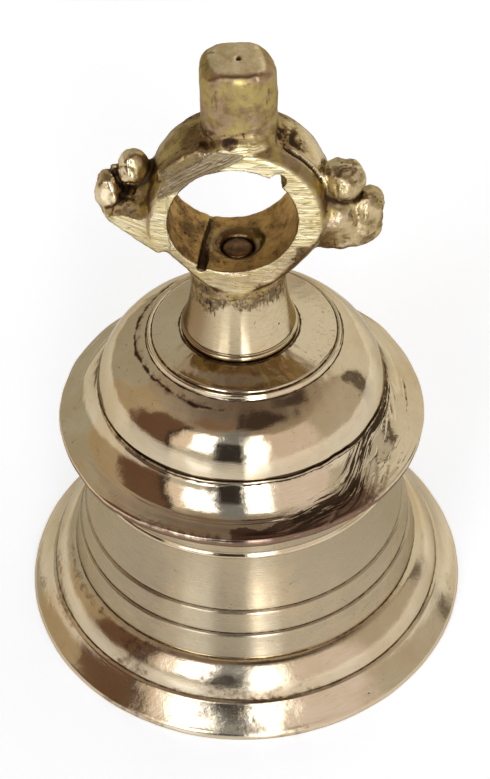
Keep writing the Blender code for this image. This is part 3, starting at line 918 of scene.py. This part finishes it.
def brass_colour(s, cloud, stroke, coarse_marks):
    """Brass by what was done to it: left worn, polished, filed bright or dull, or bored as a wall; the
    polished colour also paints a highlight on the peg's top.
    """
    drift = s.noise(s.where, 60, 3, 0.6, 0.6)
    wear = s.noise(s.stretched(s.where, (1.0, 1.0, 0.35)), 260, 4, 0.62, 0.5)
    worn = s.mix(s.span(drift, 0.40, 0.50), (0.34, 0.23, 0.135), (0.385, 0.29, 0.105))
    worn = s.mix(s.span(drift, 0.56, 0.66), worn, (0.35, 0.25, 0.15))
    worn = s.mix(s.span(cloud, 0.42, 0.66), worn, (0.235, 0.155, 0.07))
    # polished brass, which also paints the highlight on the peg's top
    polished = s.mix(s.span(cloud, 0.3, 0.7), (0.70, 0.58, 0.38), (0.50, 0.39, 0.21))
    worn = s.mix(s.value("polish"), worn, polished)
    worn = s.mix(s.span(wear, 0.62, 0.70, 0.0, 0.65), worn, (0.12, 0.075, 0.035))
    bright = s.mix(s.span(coarse_marks, 0.36, 0.62), (0.96, 0.87, 0.57), (0.72, 0.59, 0.30))
    bright = s.mix(s.times(stroke, 0.7), bright, (0.30, 0.21, 0.08))
    dull = s.mix(stroke, (0.15, 0.10, 0.058), (0.06, 0.038, 0.022))
    wall = s.mix(s.span(cloud, 0.35, 0.65), (0.56, 0.33, 0.11), (0.36, 0.21, 0.07))
    colour = s.mix(s.value("filed"), worn, bright)
    colour = s.mix(s.times(s.value("dull"), 0.9), colour, dull)
    return s.mix(s.times(s.value("wall"), 0.8), colour, wall)


def brass_surface():
    """Yellow casting brass: filed bright on its flats, brown in its hollows, and pitted by the mould."""
    s = Surface("hanger_brass")
    filed = s.value("filed")
    marks = s.vector("marks")
    cloud = s.noise(s.where, 170, 5, 0.66)
    speck = s.noise(s.where, 1000, 3, 0.6)
    coarse_marks = s.noise(marks, 0.85, 3, 0.6)
    stroke = s.math("ABSOLUTE", s.minus(s.noise(marks, 0.95, 2, 0.5), 0.5))
    stroke = s.span(stroke, 0.0, 0.035, 1.0, 0.0)
    colour = brass_colour(s, cloud, stroke, coarse_marks)
    stain = s.plus(s.value("hollow"), s.sway(cloud, 1.2))
    stain = s.minus(stain, s.times(filed, 0.5))
    colour = s.mix(s.span(stain, 0.2, 0.7), colour, BROWN_TARNISH)
    dirt = s.times(s.span(speck, 0.55, 0.65), s.span(stain, 0.05, 0.5))
    dirt = s.larger(dirt, s.span(stain, 0.66, 1.0))
    colour = s.mix(dirt, colour, TARNISH)
    rough = s.minus(s.span(cloud, 0.3, 0.7, 0.27, 0.42), s.times(s.value("polish"), 0.15))
    rough = s.plus(rough, s.times(s.larger(dirt, s.value("wall")), 0.25))
    skin = s.bump(s.noise(s.where, 360, 5, 0.62), 0.20, 0.8)
    height = s.plus(s.noise(marks, 2.2, 3, 0.6), s.times(coarse_marks, 1.2))
    normal = s.bump(s.times(s.minus(height, stroke), filed), 0.16, 0.9, skin)
    return s.finish(colour, rough, normal)


def mark_field(p, tilt, along=0.10):
    """Coordinates along and across file strokes that rise to the right by tilt degrees."""
    a = math.radians(tilt)
    run = p[:, 0] * math.cos(a) + p[:, 2] * math.sin(a)
    rise = p[:, 2] * math.cos(a) - p[:, 0] * math.sin(a)
    return np.stack([run * along, rise, p[:, 1] * along], 1)


def bend(field, p, reach=1.2):
    """How a field bends at each point: above 0 on ridges and edges, below 0 in creases."""
    total = -6 * field(p)
    for axis in np.eye(3):
        total += field(p + reach * axis) + field(p - reach * axis)
    return total


def near(p, centre, full, gone, stretch=(1.0, 1.0, 1.0)):
    """1 within a distance full of a centre, given from the ring's centre, and 0 beyond gone."""
    x, y, z = (p - np.array(centre) - (0, 0, RING_Z)).T / np.array(stretch)[:, None]
    return fall(distance(x, y, z), full, gone)


TORN = (15.5, -3.5, 22.0)  # rough patch on the right of the ring, beside the peg


def near_facet(p, facet, slack, flush):
    """1 on a facet's plane and 0 away from it, by distances in mm."""
    return fall(np.abs(plane(p, *facet)), flush, slack)


def file_marks(p, chamfer):
    """Coordinates for the file strokes, which run another way on each of the filed flats."""
    x, _, z = p.T
    marks = mark_field(p, -2)
    for where, tilt in (
        (fall(z, RING_Z - 10, RING_Z - 9) * fall(x, 11, 12), -9),
        (fall(x, -20, -19.5), -14),
        (ramp(chamfer, 0.45, 0.55), 30),
    ):
        marks += (mark_field(p, tilt) - marks) * where[:, None]
    return marks


def brown_of(p, wall, bent, dents):
    """How brown the casting is: in its creases, its floor and walls, and in patches that weren't cleaned."""
    x, y, z = p.T
    wall_stain = 0.16 + 0.10 * fall(np.abs(y), 9, 13) + 0.20 * fall(x, -14, 2)
    seam = hump(across_seam(p), 1.15) * fall(z, RING_FLOOR_Z + 3, RING_FLOOR_Z + 4)
    dish = fall(distance(x, y), 5.4, 7.6) * fall(np.abs(z - RING_FLOOR_Z + 1), 3, 4)
    patches = 0.35 + 0.65 * ramp(rough_noise(p, 1.6, 3, 60), -0.15, 0.25)
    brown = 1.1 * fall(bent, -0.95, -0.12) * ramp(z, RING_Z - 31, RING_Z - 28)
    for part in (
        wall_stain * wall,
        0.52 * seam * fall(from_hole(p), 1.0, 2.6),
        0.6 * dish,
        0.5 * fall(z, RING_Z - 28.5, RING_Z - 26.0),
        near(p, TORN, 3.5, 8.0) * patches,
        0.75 * near(p, (-10.5, -4, 23), 4.0, 8.5),
        0.95 * near(p, (-1.5, -11, 26.4), 0.8, 1.1, (2.6, 2.4, 2.0)),
        near(p, (-8.0, -10.5, 25.6), 0.7, 1.3, (2.6, 2.6, 1.5)),
        0.55 * ramp(y, 2, 11) * window(z, RING_Z - 8, RING_Z + 12, RING_Z + 25, RING_Z + 30),
        dents,
        0.55 * ramp(x - (z - RING_Z), 26, 31) * fall(y, -13, -11) * fall(x, 24, 26),
    ):
        brown = np.maximum(brown, part)
    return brown


def polish_of(p, normal, bent):
    """How far the casting is rubbed bright on the lugs' tops, the ring's right and its edges, and how bright
    the peg's flat top is made as a painted highlight.
    """
    x, y, z = p.T
    lug_tops = ramp(np.abs(x), 27, 31) * ramp(normal[:, 2] - normal[:, 1], -0.2, 0.5)
    lug_tops *= 1 - 0.5 * ramp(x, 20, 24)
    right_crown = ramp(x, 13, 17) * ramp(z, RING_Z + 6, RING_Z + 10) * ramp(y, -8.5, -6)
    edge_wear = 0.6 * ramp(bent, 0.55, 1.3) * ramp(z, RING_Z - 24, RING_Z - 20)
    # painted highlight: the peg's flat top made bright
    peg_top_highlight = ramp(z, TOP_Z - 1.6, TOP_Z - 0.8) * ramp(normal[:, 2], 0.85, 0.95)
    return np.clip(lug_tops + right_crown + edge_wear + peg_top_highlight, 0, 1)


def paint_casting(casting, p, normal, dents):
    """Point values that tell the brass where it is filed, hollow, worn smooth or bright with a painted
    highlight.
    """
    x, y, z = p.T
    facing = -normal[:, 1]
    face = fall(y, 0.08 - RING_HALF, 0.35 - RING_HALF) * ramp(facing, 0.85, 0.96)
    face *= ramp(z, RING_Z - 27.5, RING_Z - 26)
    chamfer = near_facet(p, CHAMFER, 0.3, 0.08) * ramp(facing, 0.6, 0.8) * below_peg(p)
    lug = near_facet(p, LUG_FACET, 0.45, 0.15) * ramp(facing, 0.7, 0.85) * fall(x, -21, -19)
    heel = ramp(facing, 0.55, 0.8) * window(z, RING_Z + 19, RING_Z + 22, RING_Z + 25, RING_Z + 28)
    heel *= fall(np.abs(x - 2.5), 5, 8) * fall(y, -10.5, -9.5)
    filed = np.clip(face * (1 - chamfer) + 0.6 * chamfer + 0.95 * lug + 0.6 * heel, 0, 1)
    wall = fall(from_hole(p), -0.1, 0.35) * fall(np.abs(y), 12.9, 13.3)
    bent = bend(casting_field, p)
    hollow = brown_of(p, wall, bent, dents * (1 - filed))
    ridge = fall(ridge_field(p), 0.3, 1.0) * (1 - chamfer)
    unfiled = ramp(x, 16.5, 17.5) * fall(z, RING_Z - 10.5, RING_Z - 9) * face
    filed *= 1 - 0.3 * fall(x, -17, -8)
    filed *= (1 - unfiled) * (1 - 0.6 * fall(z, RING_Z - 15, RING_Z - 4))
    point_values(
        casting,
        filed=filed,
        hollow=hollow,
        # polish includes the painted highlight on the peg's top
        polish=polish_of(p, normal, bent) * (1 - filed) * (1 - np.clip(hollow, 0, 1)),
        dull=np.clip(0.85 * chamfer + 0.6 * ridge + unfiled, 0, 1),
        wall=wall,
        marks=file_marks(p, chamfer),
    )


def cast_bumps(p):
    """The mould's lumps in mm, smoothed where a file has dressed the casting, and how deep its dents are."""
    x, y, z = p.T
    flat = fall(y, 0.1 - RING_HALF, 0.4 - RING_HALF) * ramp(z, RING_Z - 27.5, RING_Z - 26)
    chamfered = near_facet(p, CHAMFER, 0.4, 0.1) * below_peg(p)
    dressed = np.maximum(np.maximum(flat, chamfered), near_facet(p, LUG_FACET, 0.4, 0.1))
    on_lug = ramp(np.abs(x), 26, 31)
    right = ramp(x, 26, 31)
    bumps = (0.24 + 0.25 * on_lug + 0.35 * right) * rough_noise(p, 5.0, 2, 50)
    bumps += (0.20 + 0.08 * on_lug + 0.12 * right) * rough_noise(p, 2.2, 4, 51)
    bumps -= 0.18 * ramp(noise(p, 0.9, 55), 0.5, 0.85)
    dents = on_lug * ramp(noise(p, 3.1, 61), 0.10, 0.70)
    creases = on_lug * fall(np.abs(rough_noise(p, 8.0, 2, 63)), 0.01, 0.09)
    bumps -= 0.55 * dents + 0.22 * creases
    bumps *= 1 - 0.92 * dressed
    bumps *= 1 - 0.8 * fall(distance(x, y), 5.6, 7.0) * fall(z, RING_Z - 8, RING_Z)
    bumps -= 0.7 * near(p, TORN, 3.0, 7.0) * np.abs(rough_noise(p, 1.8, 3, 59))
    seam = hump(across_seam(p), 1.3) * fall(z, RING_FLOOR_Z + 3, RING_FLOOR_Z + 4)
    bumps -= 0.5 * seam * np.abs(noise(p, 0.9, 57)) * (1 - flat)
    bumps += 0.07 * dressed * noise(mark_field(p, -4), 0.6, 58)
    return bumps, np.maximum(0.40 * dents, 0.5 * creases)


CAST_LOW = (-44.5, -17.5, RING_Z - 38.0)  # a box that holds the casting with room to spare
CAST_HIGH = (46.5, 17.5, TOP_Z + 1.5)
CELL = 0.5
LONGEST_MOVE = 0.3
SETTLING_STEPS = 4


def build_casting():
    vertices, quads = surface_net(casting_field, CAST_LOW, CAST_HIGH, CELL)
    for _ in range(SETTLING_STEPS):
        g, size = slope(casting_field, vertices)
        move = casting_field(vertices) / size
        vertices -= g / size[:, None] * np.clip(move, -LONGEST_MOVE, LONGEST_MOVE)[:, None]
    g, size = slope(casting_field, vertices, step=0.3)
    normal = g / size[:, None]
    bumps, dents = cast_bumps(vertices)
    casting = mesh_object("hanger_casting", vertices + normal * bumps[:, None], quads, [brass_surface()])
    paint_casting(casting, vertices, normal, dents)
    return casting


# ---------------------------------------------------------------- neck and spigot

SPIGOT_R = 8.0
ROD_BORE_R = 3.4
NECK_FOOT = (17.5, SEAT_Z + 2.25)
NECK_TOP = (14.5, RING_Z - 30.0)
THREAD_PITCH = 1.25
THREAD_DEPTH = 0.55


def thread(top, bottom):
    """Grooves round the spigot from top down to bottom, as outline pieces."""
    pieces = []
    z = top
    while z - THREAD_PITCH > bottom:
        pieces.append((SPIGOT_R - THREAD_DEPTH, z - THREAD_PITCH * 0.5, 0, 0.4, "polished"))
        pieces.append((SPIGOT_R, z - THREAD_PITCH * 0.92, 0, 0.4, "polished"))
        pieces.append((SPIGOT_R, z - THREAD_PITCH, 0, 0.4, "polished"))
        z -= THREAD_PITCH
    return pieces


def neck_outline():
    seat = SEAT_Z + 0.05
    spigot_end = hanger_low[2]
    thread_top = SEAT_Z - 8.0
    start = (ROD_BORE_R, RING_FLOOR_Z - 5.0)
    pieces = [
        (13.4, RING_FLOOR_Z - 5.0, 0, 2.0, "polished"),
        (14.1, RING_Z - 27.5, 0, 0.8, "polished"),
        (*NECK_TOP, 0, 0.4, "polished"),
        (*NECK_FOOT, 0.75, 0.4, "polished"),
        (17.35, seat + 2.0, 0, 0.15, "polished"),
        (17.7, seat + 1.7, 0, 0.15, "polished"),
        (18.25, seat + 0.9, -0.2, 0.15, "polished"),
        (18.1, seat + 0.25, -0.1, 0.15, "polished"),
        (17.9, seat, 0, 0.2, "polished"),
        (SPIGOT_R, seat, 0, 2.0, "polished"),
        (SPIGOT_R, thread_top, 0, 2.0, "polished"),
        *thread(thread_top, spigot_end + 0.8),
        (7.3, spigot_end, 0, 0.4, "polished"),
        (ROD_BORE_R, spigot_end, 0, 1.0, "polished"),
        (*start, 0, 4.0, "polished"),
    ]
    return outline(start, pieces)


def neck_surface():
    """Brass turned and buffed to a mirror, with lathe rings, casting skin above, grime at its foot and
    painted shade down its left side.
    """
    s = Surface("neck_polished")
    skin = s.value("skin")
    cloud = s.noise(s.where, 60, 4, 0.6)
    ragged = s.noise(s.where, 420, 4, 0.65)
    speck = s.noise(s.stretched(s.where, (1.0, 1.0, 0.4)), 1000, 4, 0.65)
    streak = s.noise(s.vector("lathe", (7, 7, 160)), 1.0, 4, 0.7)
    metal = s.mix(s.span(cloud, 0.4, 0.75), (0.56, 0.455, 0.29), (0.46, 0.34, 0.18))
    metal = s.mix(s.span(streak, 0.4, 0.75, 0.0, 0.5), metal, (0.40, 0.28, 0.14))
    # painted shade: the neck darker down its left side
    metal = s.mix(s.value("shade"), metal, (0.24, 0.155, 0.08))
    skinned = s.span(s.plus(skin, s.sway(speck, 1.8)), 0.3, 0.6)
    skin_colour = s.mix(s.span(ragged, 0.40, 0.56), (0.33, 0.24, 0.11), (0.10, 0.065, 0.035))
    metal = s.mix(s.times(skinned, 0.85), metal, skin_colour)
    dirt = s.span(s.plus(s.value("grime"), s.sway(ragged, 1.2)), 0.3, 0.7)
    dirt = s.larger(dirt, s.span(s.plus(speck, s.times(skin, 0.14)), 0.66, 0.74))
    normal = s.bump(streak, 0.03, 0.6)
    normal = s.bump(s.times(ragged, skin), 0.25, 0.8, normal)
    rough = s.plus(s.span(cloud, 0.3, 0.7, 0.09, 0.16), s.times(dirt, 0.35))
    rough = s.plus(rough, s.times(skinned, 0.22))
    return s.finish(s.mix(dirt, metal, TARNISH), rough, normal)


def neck_offset(angle, s):
    return 0.03 * round_noise(angle, s, 0.8, 61, 2, 1 / 9)


def build_neck():
    line = neck_outline()
    neck = turned_object("hanger_neck", line, {"polished": neck_surface()}, NECK_STEPS, neck_offset)
    angle = columns(NECK_STEPS)[:, None]
    s = travel_of(line[0])[None, :]
    level = 0 * angle + 0 * s
    seams = [travel_at(line[0], *NECK_FOOT), travel_at(line[0], 18.0, SEAT_Z + 0.1)]
    drop = 7.0 + 3.0 * fall(angle, -0.8, -0.2) + 1.2 * ramp(angle, 0.3, 0.8) + 0.8 * np.sin(7 * angle)
    point_values(
        neck,
        grime=np.max([hump(s - seam, 0.3) + level for seam in seams], axis=0),
        skin=0.8 * ramp((travel_at(line[0], *NECK_TOP) + drop - s) / 8.5, 0, 1),
        # painted shade down the neck's left side
        shade=0.9 * window(angle, -2.6, -2.0, -0.95, -0.42) + level,
    )
    return neck


# ---------------------------------------------------------------- rods and clapper

BAR_R = 3.0
SHANK_R = BAR_R - 0.1
EYE_R = 7.0
EYE_BEND_R = 5.0
EYE_WRAP = math.radians(280)
EYE_TIP_R = BAR_R - 0.7
PIVOT_Z = 80.0


def eye_path(eye_z, upward):
    """Centreline of a shank's end and its eye, as (across, height) in mm, from the eye's tip to the shank."""
    rise = math.sqrt(EYE_R**2 + 2 * EYE_R * EYE_BEND_R)
    turn = math.atan2(rise, EYE_BEND_R)
    bend_steps = 12
    eye_steps = 64
    points = []
    for i in range(bend_steps + 1):
        angle = math.pi + turn * i / bend_steps
        points.append((EYE_BEND_R + EYE_BEND_R * math.cos(angle), rise + EYE_BEND_R * math.sin(angle)))
    for i in range(1, eye_steps + 1):
        angle = turn - EYE_WRAP * i / eye_steps
        points.append((EYE_R * math.cos(angle), EYE_R * math.sin(angle)))
    return [(across, eye_z + upward * height) for across, height in reversed(points)]


def steel_surface(name, colour, rust, roughness):
    """Forged or plated steel with dull patches, rust in its pits, and brown where it's peened over."""
    s = Surface(name)
    cloud = s.noise(s.where, 130, 4, 0.6)
    patch = s.noise(s.where, 45, 4, 0.62)
    speck = s.noise(s.where, 1000, 3, 0.6)
    metal = s.mix(s.span(cloud, 0.35, 0.7), colour, tuple(0.55 * c for c in colour))
    rusty = s.times(s.span(s.plus(patch, s.times(speck, 0.35)), 0.72, 0.92), rust)
    metal = s.mix(rusty, metal, (0.17, 0.075, 0.032))
    height = s.parts(s.where)[2]
    above = s.span(height, (RING_FLOOR_Z - 6) * MM, (RING_FLOOR_Z - 5) * MM)
    peened = s.mix(s.span(cloud, 0.36, 0.60), (0.26, 0.14, 0.058), (0.08, 0.045, 0.022))
    peened = s.mix(s.span(speck, 0.56, 0.66, 0.0, 0.6), peened, (0.05, 0.03, 0.018))
    rough = s.span(cloud, 0.3, 0.75, roughness - 0.08, roughness + 0.1)
    rough = s.plus(rough, s.times(rusty, 0.35))
    normal = s.bump(s.noise(s.where, 330, 4, 0.6), 0.10, 0.5)
    normal = s.bump(speck, 0.03, 0.6, normal)
    shine = s.minus(1.0, s.times(rusty, 0.8))
    return s.finish(s.mix(above, metal, peened), rough, normal, metallic=shine)


def bar_mesh(route):
    """A mesh of round sections along route, a list of (x, y, z, radius) in mm."""
    curve = bpy.data.curves.new("bar", "CURVE")
    curve.dimensions = "3D"
    curve.bevel_depth = BAR_R * MM
    curve.bevel_resolution = 6
    curve.use_fill_caps = True
    spline = curve.splines.new("POLY")
    spline.points.add(len(route) - 1)
    for point, (x, y, z, radius) in zip(spline.points, route):
        point.co = (x * MM, y * MM, z * MM, 1)
        point.radius = radius / BAR_R
    path = link(bpy.data.objects.new("bar_path", curve))
    graph = bpy.context.evaluated_depsgraph_get()
    mesh = bpy.data.meshes.new_from_object(path.evaluated_get(graph))
    bpy.data.objects.remove(path)
    return mesh


def build_bar(name, route, material, seed):
    """A round bar along route with a slightly hammered surface."""
    mesh = bar_mesh(route)
    shape = bmesh.new()
    shape.from_mesh(mesh)
    bmesh.ops.remove_doubles(shape, verts=shape.verts, dist=0.00001)
    bmesh.ops.recalc_face_normals(shape, faces=shape.faces)
    shape.normal_update()
    where = np.array([v.co for v in shape.verts]) / MM
    bumps = 0.07 * rough_noise(where, 3.2, 3, seed) * MM
    moves = [v.normal * b for v, b in zip(shape.verts, bumps)]
    for vert, move in zip(shape.verts, moves):
        vert.co += move
    shape.to_mesh(mesh)
    shape.free()
    mesh.materials.clear()
    mesh.materials.append(material)
    mesh.shade_smooth()
    return link(bpy.data.objects.new(name, mesh))


def stations(base, sizes):
    """Route points on the axis, from (height above base, radius) pairs."""
    return [(0, 0, base + height, radius) for height, radius in sizes]


def build_hanging_rod(steel):
    """The rod that turns in the spigot: peened over in the ring's floor, with an eye at its lower end."""
    seat = RING_FLOOR_Z - 4.2
    head = ((1.0, 3.7), (1.6, 4.4), (2.1, 4.7), (2.5, 4.3), (2.75, 3.3), (2.85, 1.8))
    route = [(x, 0, z, SHANK_R) for x, z in eye_path(PIVOT_Z + EYE_R, 1)]
    route[0] = (*route[0][:3], EYE_TIP_R)
    route += stations(hanger_low[2], [(0, SHANK_R)])
    route += stations(seat, [(-0.4, SHANK_R), (0.6, BAR_R + 0.2), *head])
    return build_bar("swivel_rod", route, steel, 71)


def build_clapper_rod(steel):
    """The clapper's rod, with its eye through the swivel's, and a collar above its ball."""
    top = node_box("clapper_ball")[1][2]
    bottom = node_box("clapper_rod")[0][2]
    collar = ((7.0, 2.9), (4.6, 3.5), (3.2, 4.6), (1.8, 5.15), (1.0, 5.2), (0.35, 5.0), (0.3, 2.9))
    eye_z = PIVOT_Z + 2 * BAR_R + 0.3 - EYE_R
    route = [(0, y, z, SHANK_R) for y, z in eye_path(eye_z, -1)]
    route[0] = (*route[0][:3], EYE_TIP_R)
    route += stations(top, collar)
    route += stations(bottom, [(0.5, SHANK_R), (0.1, BAR_R - 0.5)])
    return build_bar("clapper_shank", route, steel, 72)


def ball_outline():
    """The ball's outline, with a groove above and below its worn middle, and its bore."""
    low, high = node_box("clapper_ball")
    ball_r = high[0]
    middle = (low[2] + high[2]) / 2
    lift = high[2] - middle
    first = math.asin(lift / ball_r)
    hole_r = BAR_R + 0.3
    angle = first * np.linspace(1, -1, 73)
    height = np.sin(angle) * ball_r
    grooves = 0.35 * hump(height - 5.5, 0.45) + 0.35 * hump(height + 5.5, 0.45)
    radius = np.cos(angle) * ball_r - grooves - 0.12 * hump(height, 2.5, 4)
    spots = list(zip(radius, middle + height))
    pieces = [(*spot, 0, 9.0, "ball") for spot in spots[1:]]
    pieces += [(hole_r, middle - lift, 0, 1.0, "ball"), (hole_r, middle + lift, 0, 4.0, "ball")]
    return outline(spots[0], [*pieces, (*spots[0], 0, 1.0, "ball")])


def ball_offset(angle, s):
    dents = np.abs(round_noise(angle, s, 1.7, 76, 16, 1))
    return 0.10 * round_noise(angle, s, 3.0, 75, 16, 1) - 0.12 * dents


def ball_surface():
    """The clapper's brass ball, brown from handling and the weather."""
    s = Surface("clapper_brass")
    cloud = s.noise(s.where, 70, 5, 0.6)
    speck = s.noise(s.where, 900, 3, 0.6)
    colour = s.mix(s.span(cloud, 0.35, 0.7), (0.55, 0.42, 0.19), (0.34, 0.23, 0.10))
    dirt = s.span(s.plus(speck, s.times(cloud, 0.4)), 0.82, 0.95)
    normal = s.bump(s.noise(s.vector("lathe", (4, 4, 220)), 3.0, 3, 0.6), 0.06, 0.6)
    normal = s.bump(speck, 0.03, 0.5, normal)
    return s.finish(s.mix(dirt, colour, TARNISH), s.span(cloud, 0.3, 0.7, 0.22, 0.38), normal)


def build_ball():
    materials = {"ball": ball_surface()}
    return turned_object("clapper_ball_turned", ball_outline(), materials, BALL_STEPS, ball_offset)


# ---------------------------------------------------------------- stage, light and camera

PHOTO_TILT = math.radians(44.54)  # the camera looks down at the bell by this much
PHOTO_DISTANCE = 0.6
PHOTO_ROLL = math.radians(-1.527)
PHOTO_AIM_Z = 0.09


def add_camera():
    data = bpy.data.cameras.new("camera")
    data.sensor_width = 36
    data.lens = 85.95
    data.shift_x = 0.0046
    data.shift_y = -0.0046
    data.clip_start = 0.01
    camera = link(bpy.data.objects.new("camera", data))
    away = Vector((0, -math.cos(PHOTO_TILT), math.sin(PHOTO_TILT)))
    place = Matrix.Translation(Vector((0, 0, PHOTO_AIM_Z)) + away * PHOTO_DISTANCE)
    turn = (-away).to_track_quat("-Z", "Y").to_matrix().to_4x4()
    camera.matrix_world = place @ turn @ Matrix.Rotation(PHOTO_ROLL, 4, "Z")
    bpy.context.scene.camera = camera


FLOOR_R = 4.0
FLOOR_Z = -0.0002  # just under the bell's lip
FLOOR_GLOW = 0.45


def add_floor():
    spot = (0, 0, FLOOR_Z)
    bpy.ops.mesh.primitive_circle_add(vertices=96, radius=FLOOR_R, fill_type="NGON", location=spot)
    floor = bpy.context.object
    floor.name = "floor"
    s = Surface("floor_white")
    grain = s.noise(s.where, 6, 3, 0.5)
    colour = s.mix(s.span(grain, 0.3, 0.7), (0.86, 0.855, 0.845), (0.90, 0.895, 0.885))
    s.put(s.shader["Emission Color"], (0.93, 1.0, 1.08, 1))
    s.put(s.shader["Emission Strength"], FLOOR_GLOW)
    floor.data.materials.append(s.finish(colour, 0.16, metallic=0.0))


RAGGED_EDGE = math.radians(12)  # how far the patches' edges stray, to both sides together


class Sky(Tree):
    """World shader made of soft-edged patches, each a range of azimuth and elevation with its own light.

    Azimuth is in degrees from the front, growing towards +X; elevation is in degrees above the horizon."""

    def __init__(self, levels):
        """Starts with the sky's colour by elevation, as (degrees, colour) from the horizon up."""
        world = bpy.data.worlds.new("studio")
        bpy.context.scene.world = world
        world.use_nodes = True
        super().__init__(world.node_tree)
        self.tree.nodes.clear()
        towards = self.node("ShaderNodeTexCoord", "Generated", {})
        x, y, z = self.parts(towards)
        stray = self.sway(self.noise(towards, 16, 4, 0.65), RAGGED_EDGE)
        self.azimuth = self.plus(self.math("ARCTAN2", x, self.times(y, -1.0)), stray)
        self.elevation = self.plus(self.math("ARCSINE", z), stray)
        self.colour = levels[0][1]
        for (low, _), (high, colour) in zip(levels, levels[1:]):
            rise = self.span(self.elevation, math.radians(low), math.radians(high))
            self.colour = self.mix(rise, self.colour, colour)

    def between(self, value, limits, soft):
        """1 between two limits in degrees, with edges that are soft by so many degrees on each side."""
        edges = [(math.radians(limit - soft), math.radians(limit + soft)) for limit in limits]
        entered, left = [self.span(value, *edge) for edge in edges]
        return self.times(entered, self.minus(1.0, left))

    def patch(self, azimuth, elevation, colour, soft):
        across = self.between(self.azimuth, azimuth, soft)
        inside = self.times(across, self.between(self.elevation, elevation, soft))
        self.colour = self.mix(inside, self.colour, colour)

    def finish(self, seen):
        """Lights the scene with the sky, and shows the camera a plain colour instead."""
        is_camera = self.node("ShaderNodeLightPath", "Is Camera Ray", {})
        colour = self.mix(is_camera, self.colour, seen)
        output = self.tree.nodes.new("ShaderNodeOutputWorld")
        self.put(output.inputs["Surface"], self.node("ShaderNodeBackground", "Background", {"Color": colour}))


WINDOW = (3.9, 4.15, 4.7)
WHITE = (1.0, 1.0, 1.0)
SKY_LEVELS = (
    (-5, (0.80, 0.78, 0.75)),
    (10, (0.70, 0.67, 0.61)),
    (40, (0.68, 0.63, 0.55)),
    (58, (0.48, 0.41, 0.35)),
    (75, (0.27, 0.225, 0.20)),
    (90, (0.20, 0.15, 0.12)),
)
SKY_PATCHES = (  # azimuth range, elevation range, colour, softness
    ((-180, -117), (-20, 50), (0.56, 0.545, 0.48), 3),
    ((-117, -88), (-20, 54), (0.60, 0.50, 0.36), 2),
    ((-88, -51), (-20, 55), (0.20, 0.115, 0.075), 2),
    ((-58, -52), (-20, 55), (0.07, 0.05, 0.04), 2),
    ((-51, -40), (8, 46), (1.15, 1.0, 0.9), 1.5),
    ((-40, -20), (10, 46), WINDOW, 1.5),
    ((-20, 3), (-20, 62), (0.30, 0.32, 0.36), 1.5),
    ((-21, 2), (-20, 31), (0.045, 0.04, 0.04), 1.5),
    ((3, 18), (-20, 49), WINDOW, 1.5),
    ((3, 9), (-20, 30), (10.5, 11.0, 12.0), 1.5),
    ((18, 60), (-20, 47), (1.02, 0.93, 0.94), 3),
    ((60, 105), (-20, 36), (0.70, 0.66, 0.60), 6),
    ((106, 113), (-20, 40), (0.16, 0.13, 0.10), 1.5),
    ((115, 165), (-20, 54), (0.95, 0.92, 0.84), 3),
    ((88, 124), (64, 77), (0.10, 0.075, 0.06), 3),
    ((-10, 70), (64, 95), (0.08, 0.058, 0.05), 5),
    ((-70, -20), (60, 76), (0.30, 0.20, 0.14), 5),
)


def add_sky():
    sky = Sky(SKY_LEVELS)
    for patch in SKY_PATCHES:
        sky.patch(*patch)
    sky.finish(WHITE)


# ---------------------------------------------------------------- putting it together

def put_on(piece, body, node):
    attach(piece, body)
    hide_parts(node)


put_on(build_bell(), "bell", "bell_body")
put_on(build_casting(), "bell", "hanger")
put_on(build_neck(), "bell", "hanger")

rod_steel = steel_surface("rod_steel", (0.27, 0.235, 0.20), 1.6, 0.42)
nut_steel = steel_surface("nut_steel", (0.55, 0.54, 0.50), 0.5, 0.30)
put_on(build_hanging_rod(rod_steel), "swivel", "hanging_rod")
put_on(build_clapper_rod(rod_steel), "clapper", "clapper_rod")
put_on(build_ball(), "clapper", "clapper_ball")
for name in ("crown_washer", "crown_nut", "clapper_washer", "clapper_nut"):
    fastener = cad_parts[name]
    fastener.data.materials.clear()
    fastener.data.materials.append(nut_steel)

add_floor()
add_sky()
add_camera()
bpy.context.scene.view_settings.view_transform = "Standard"
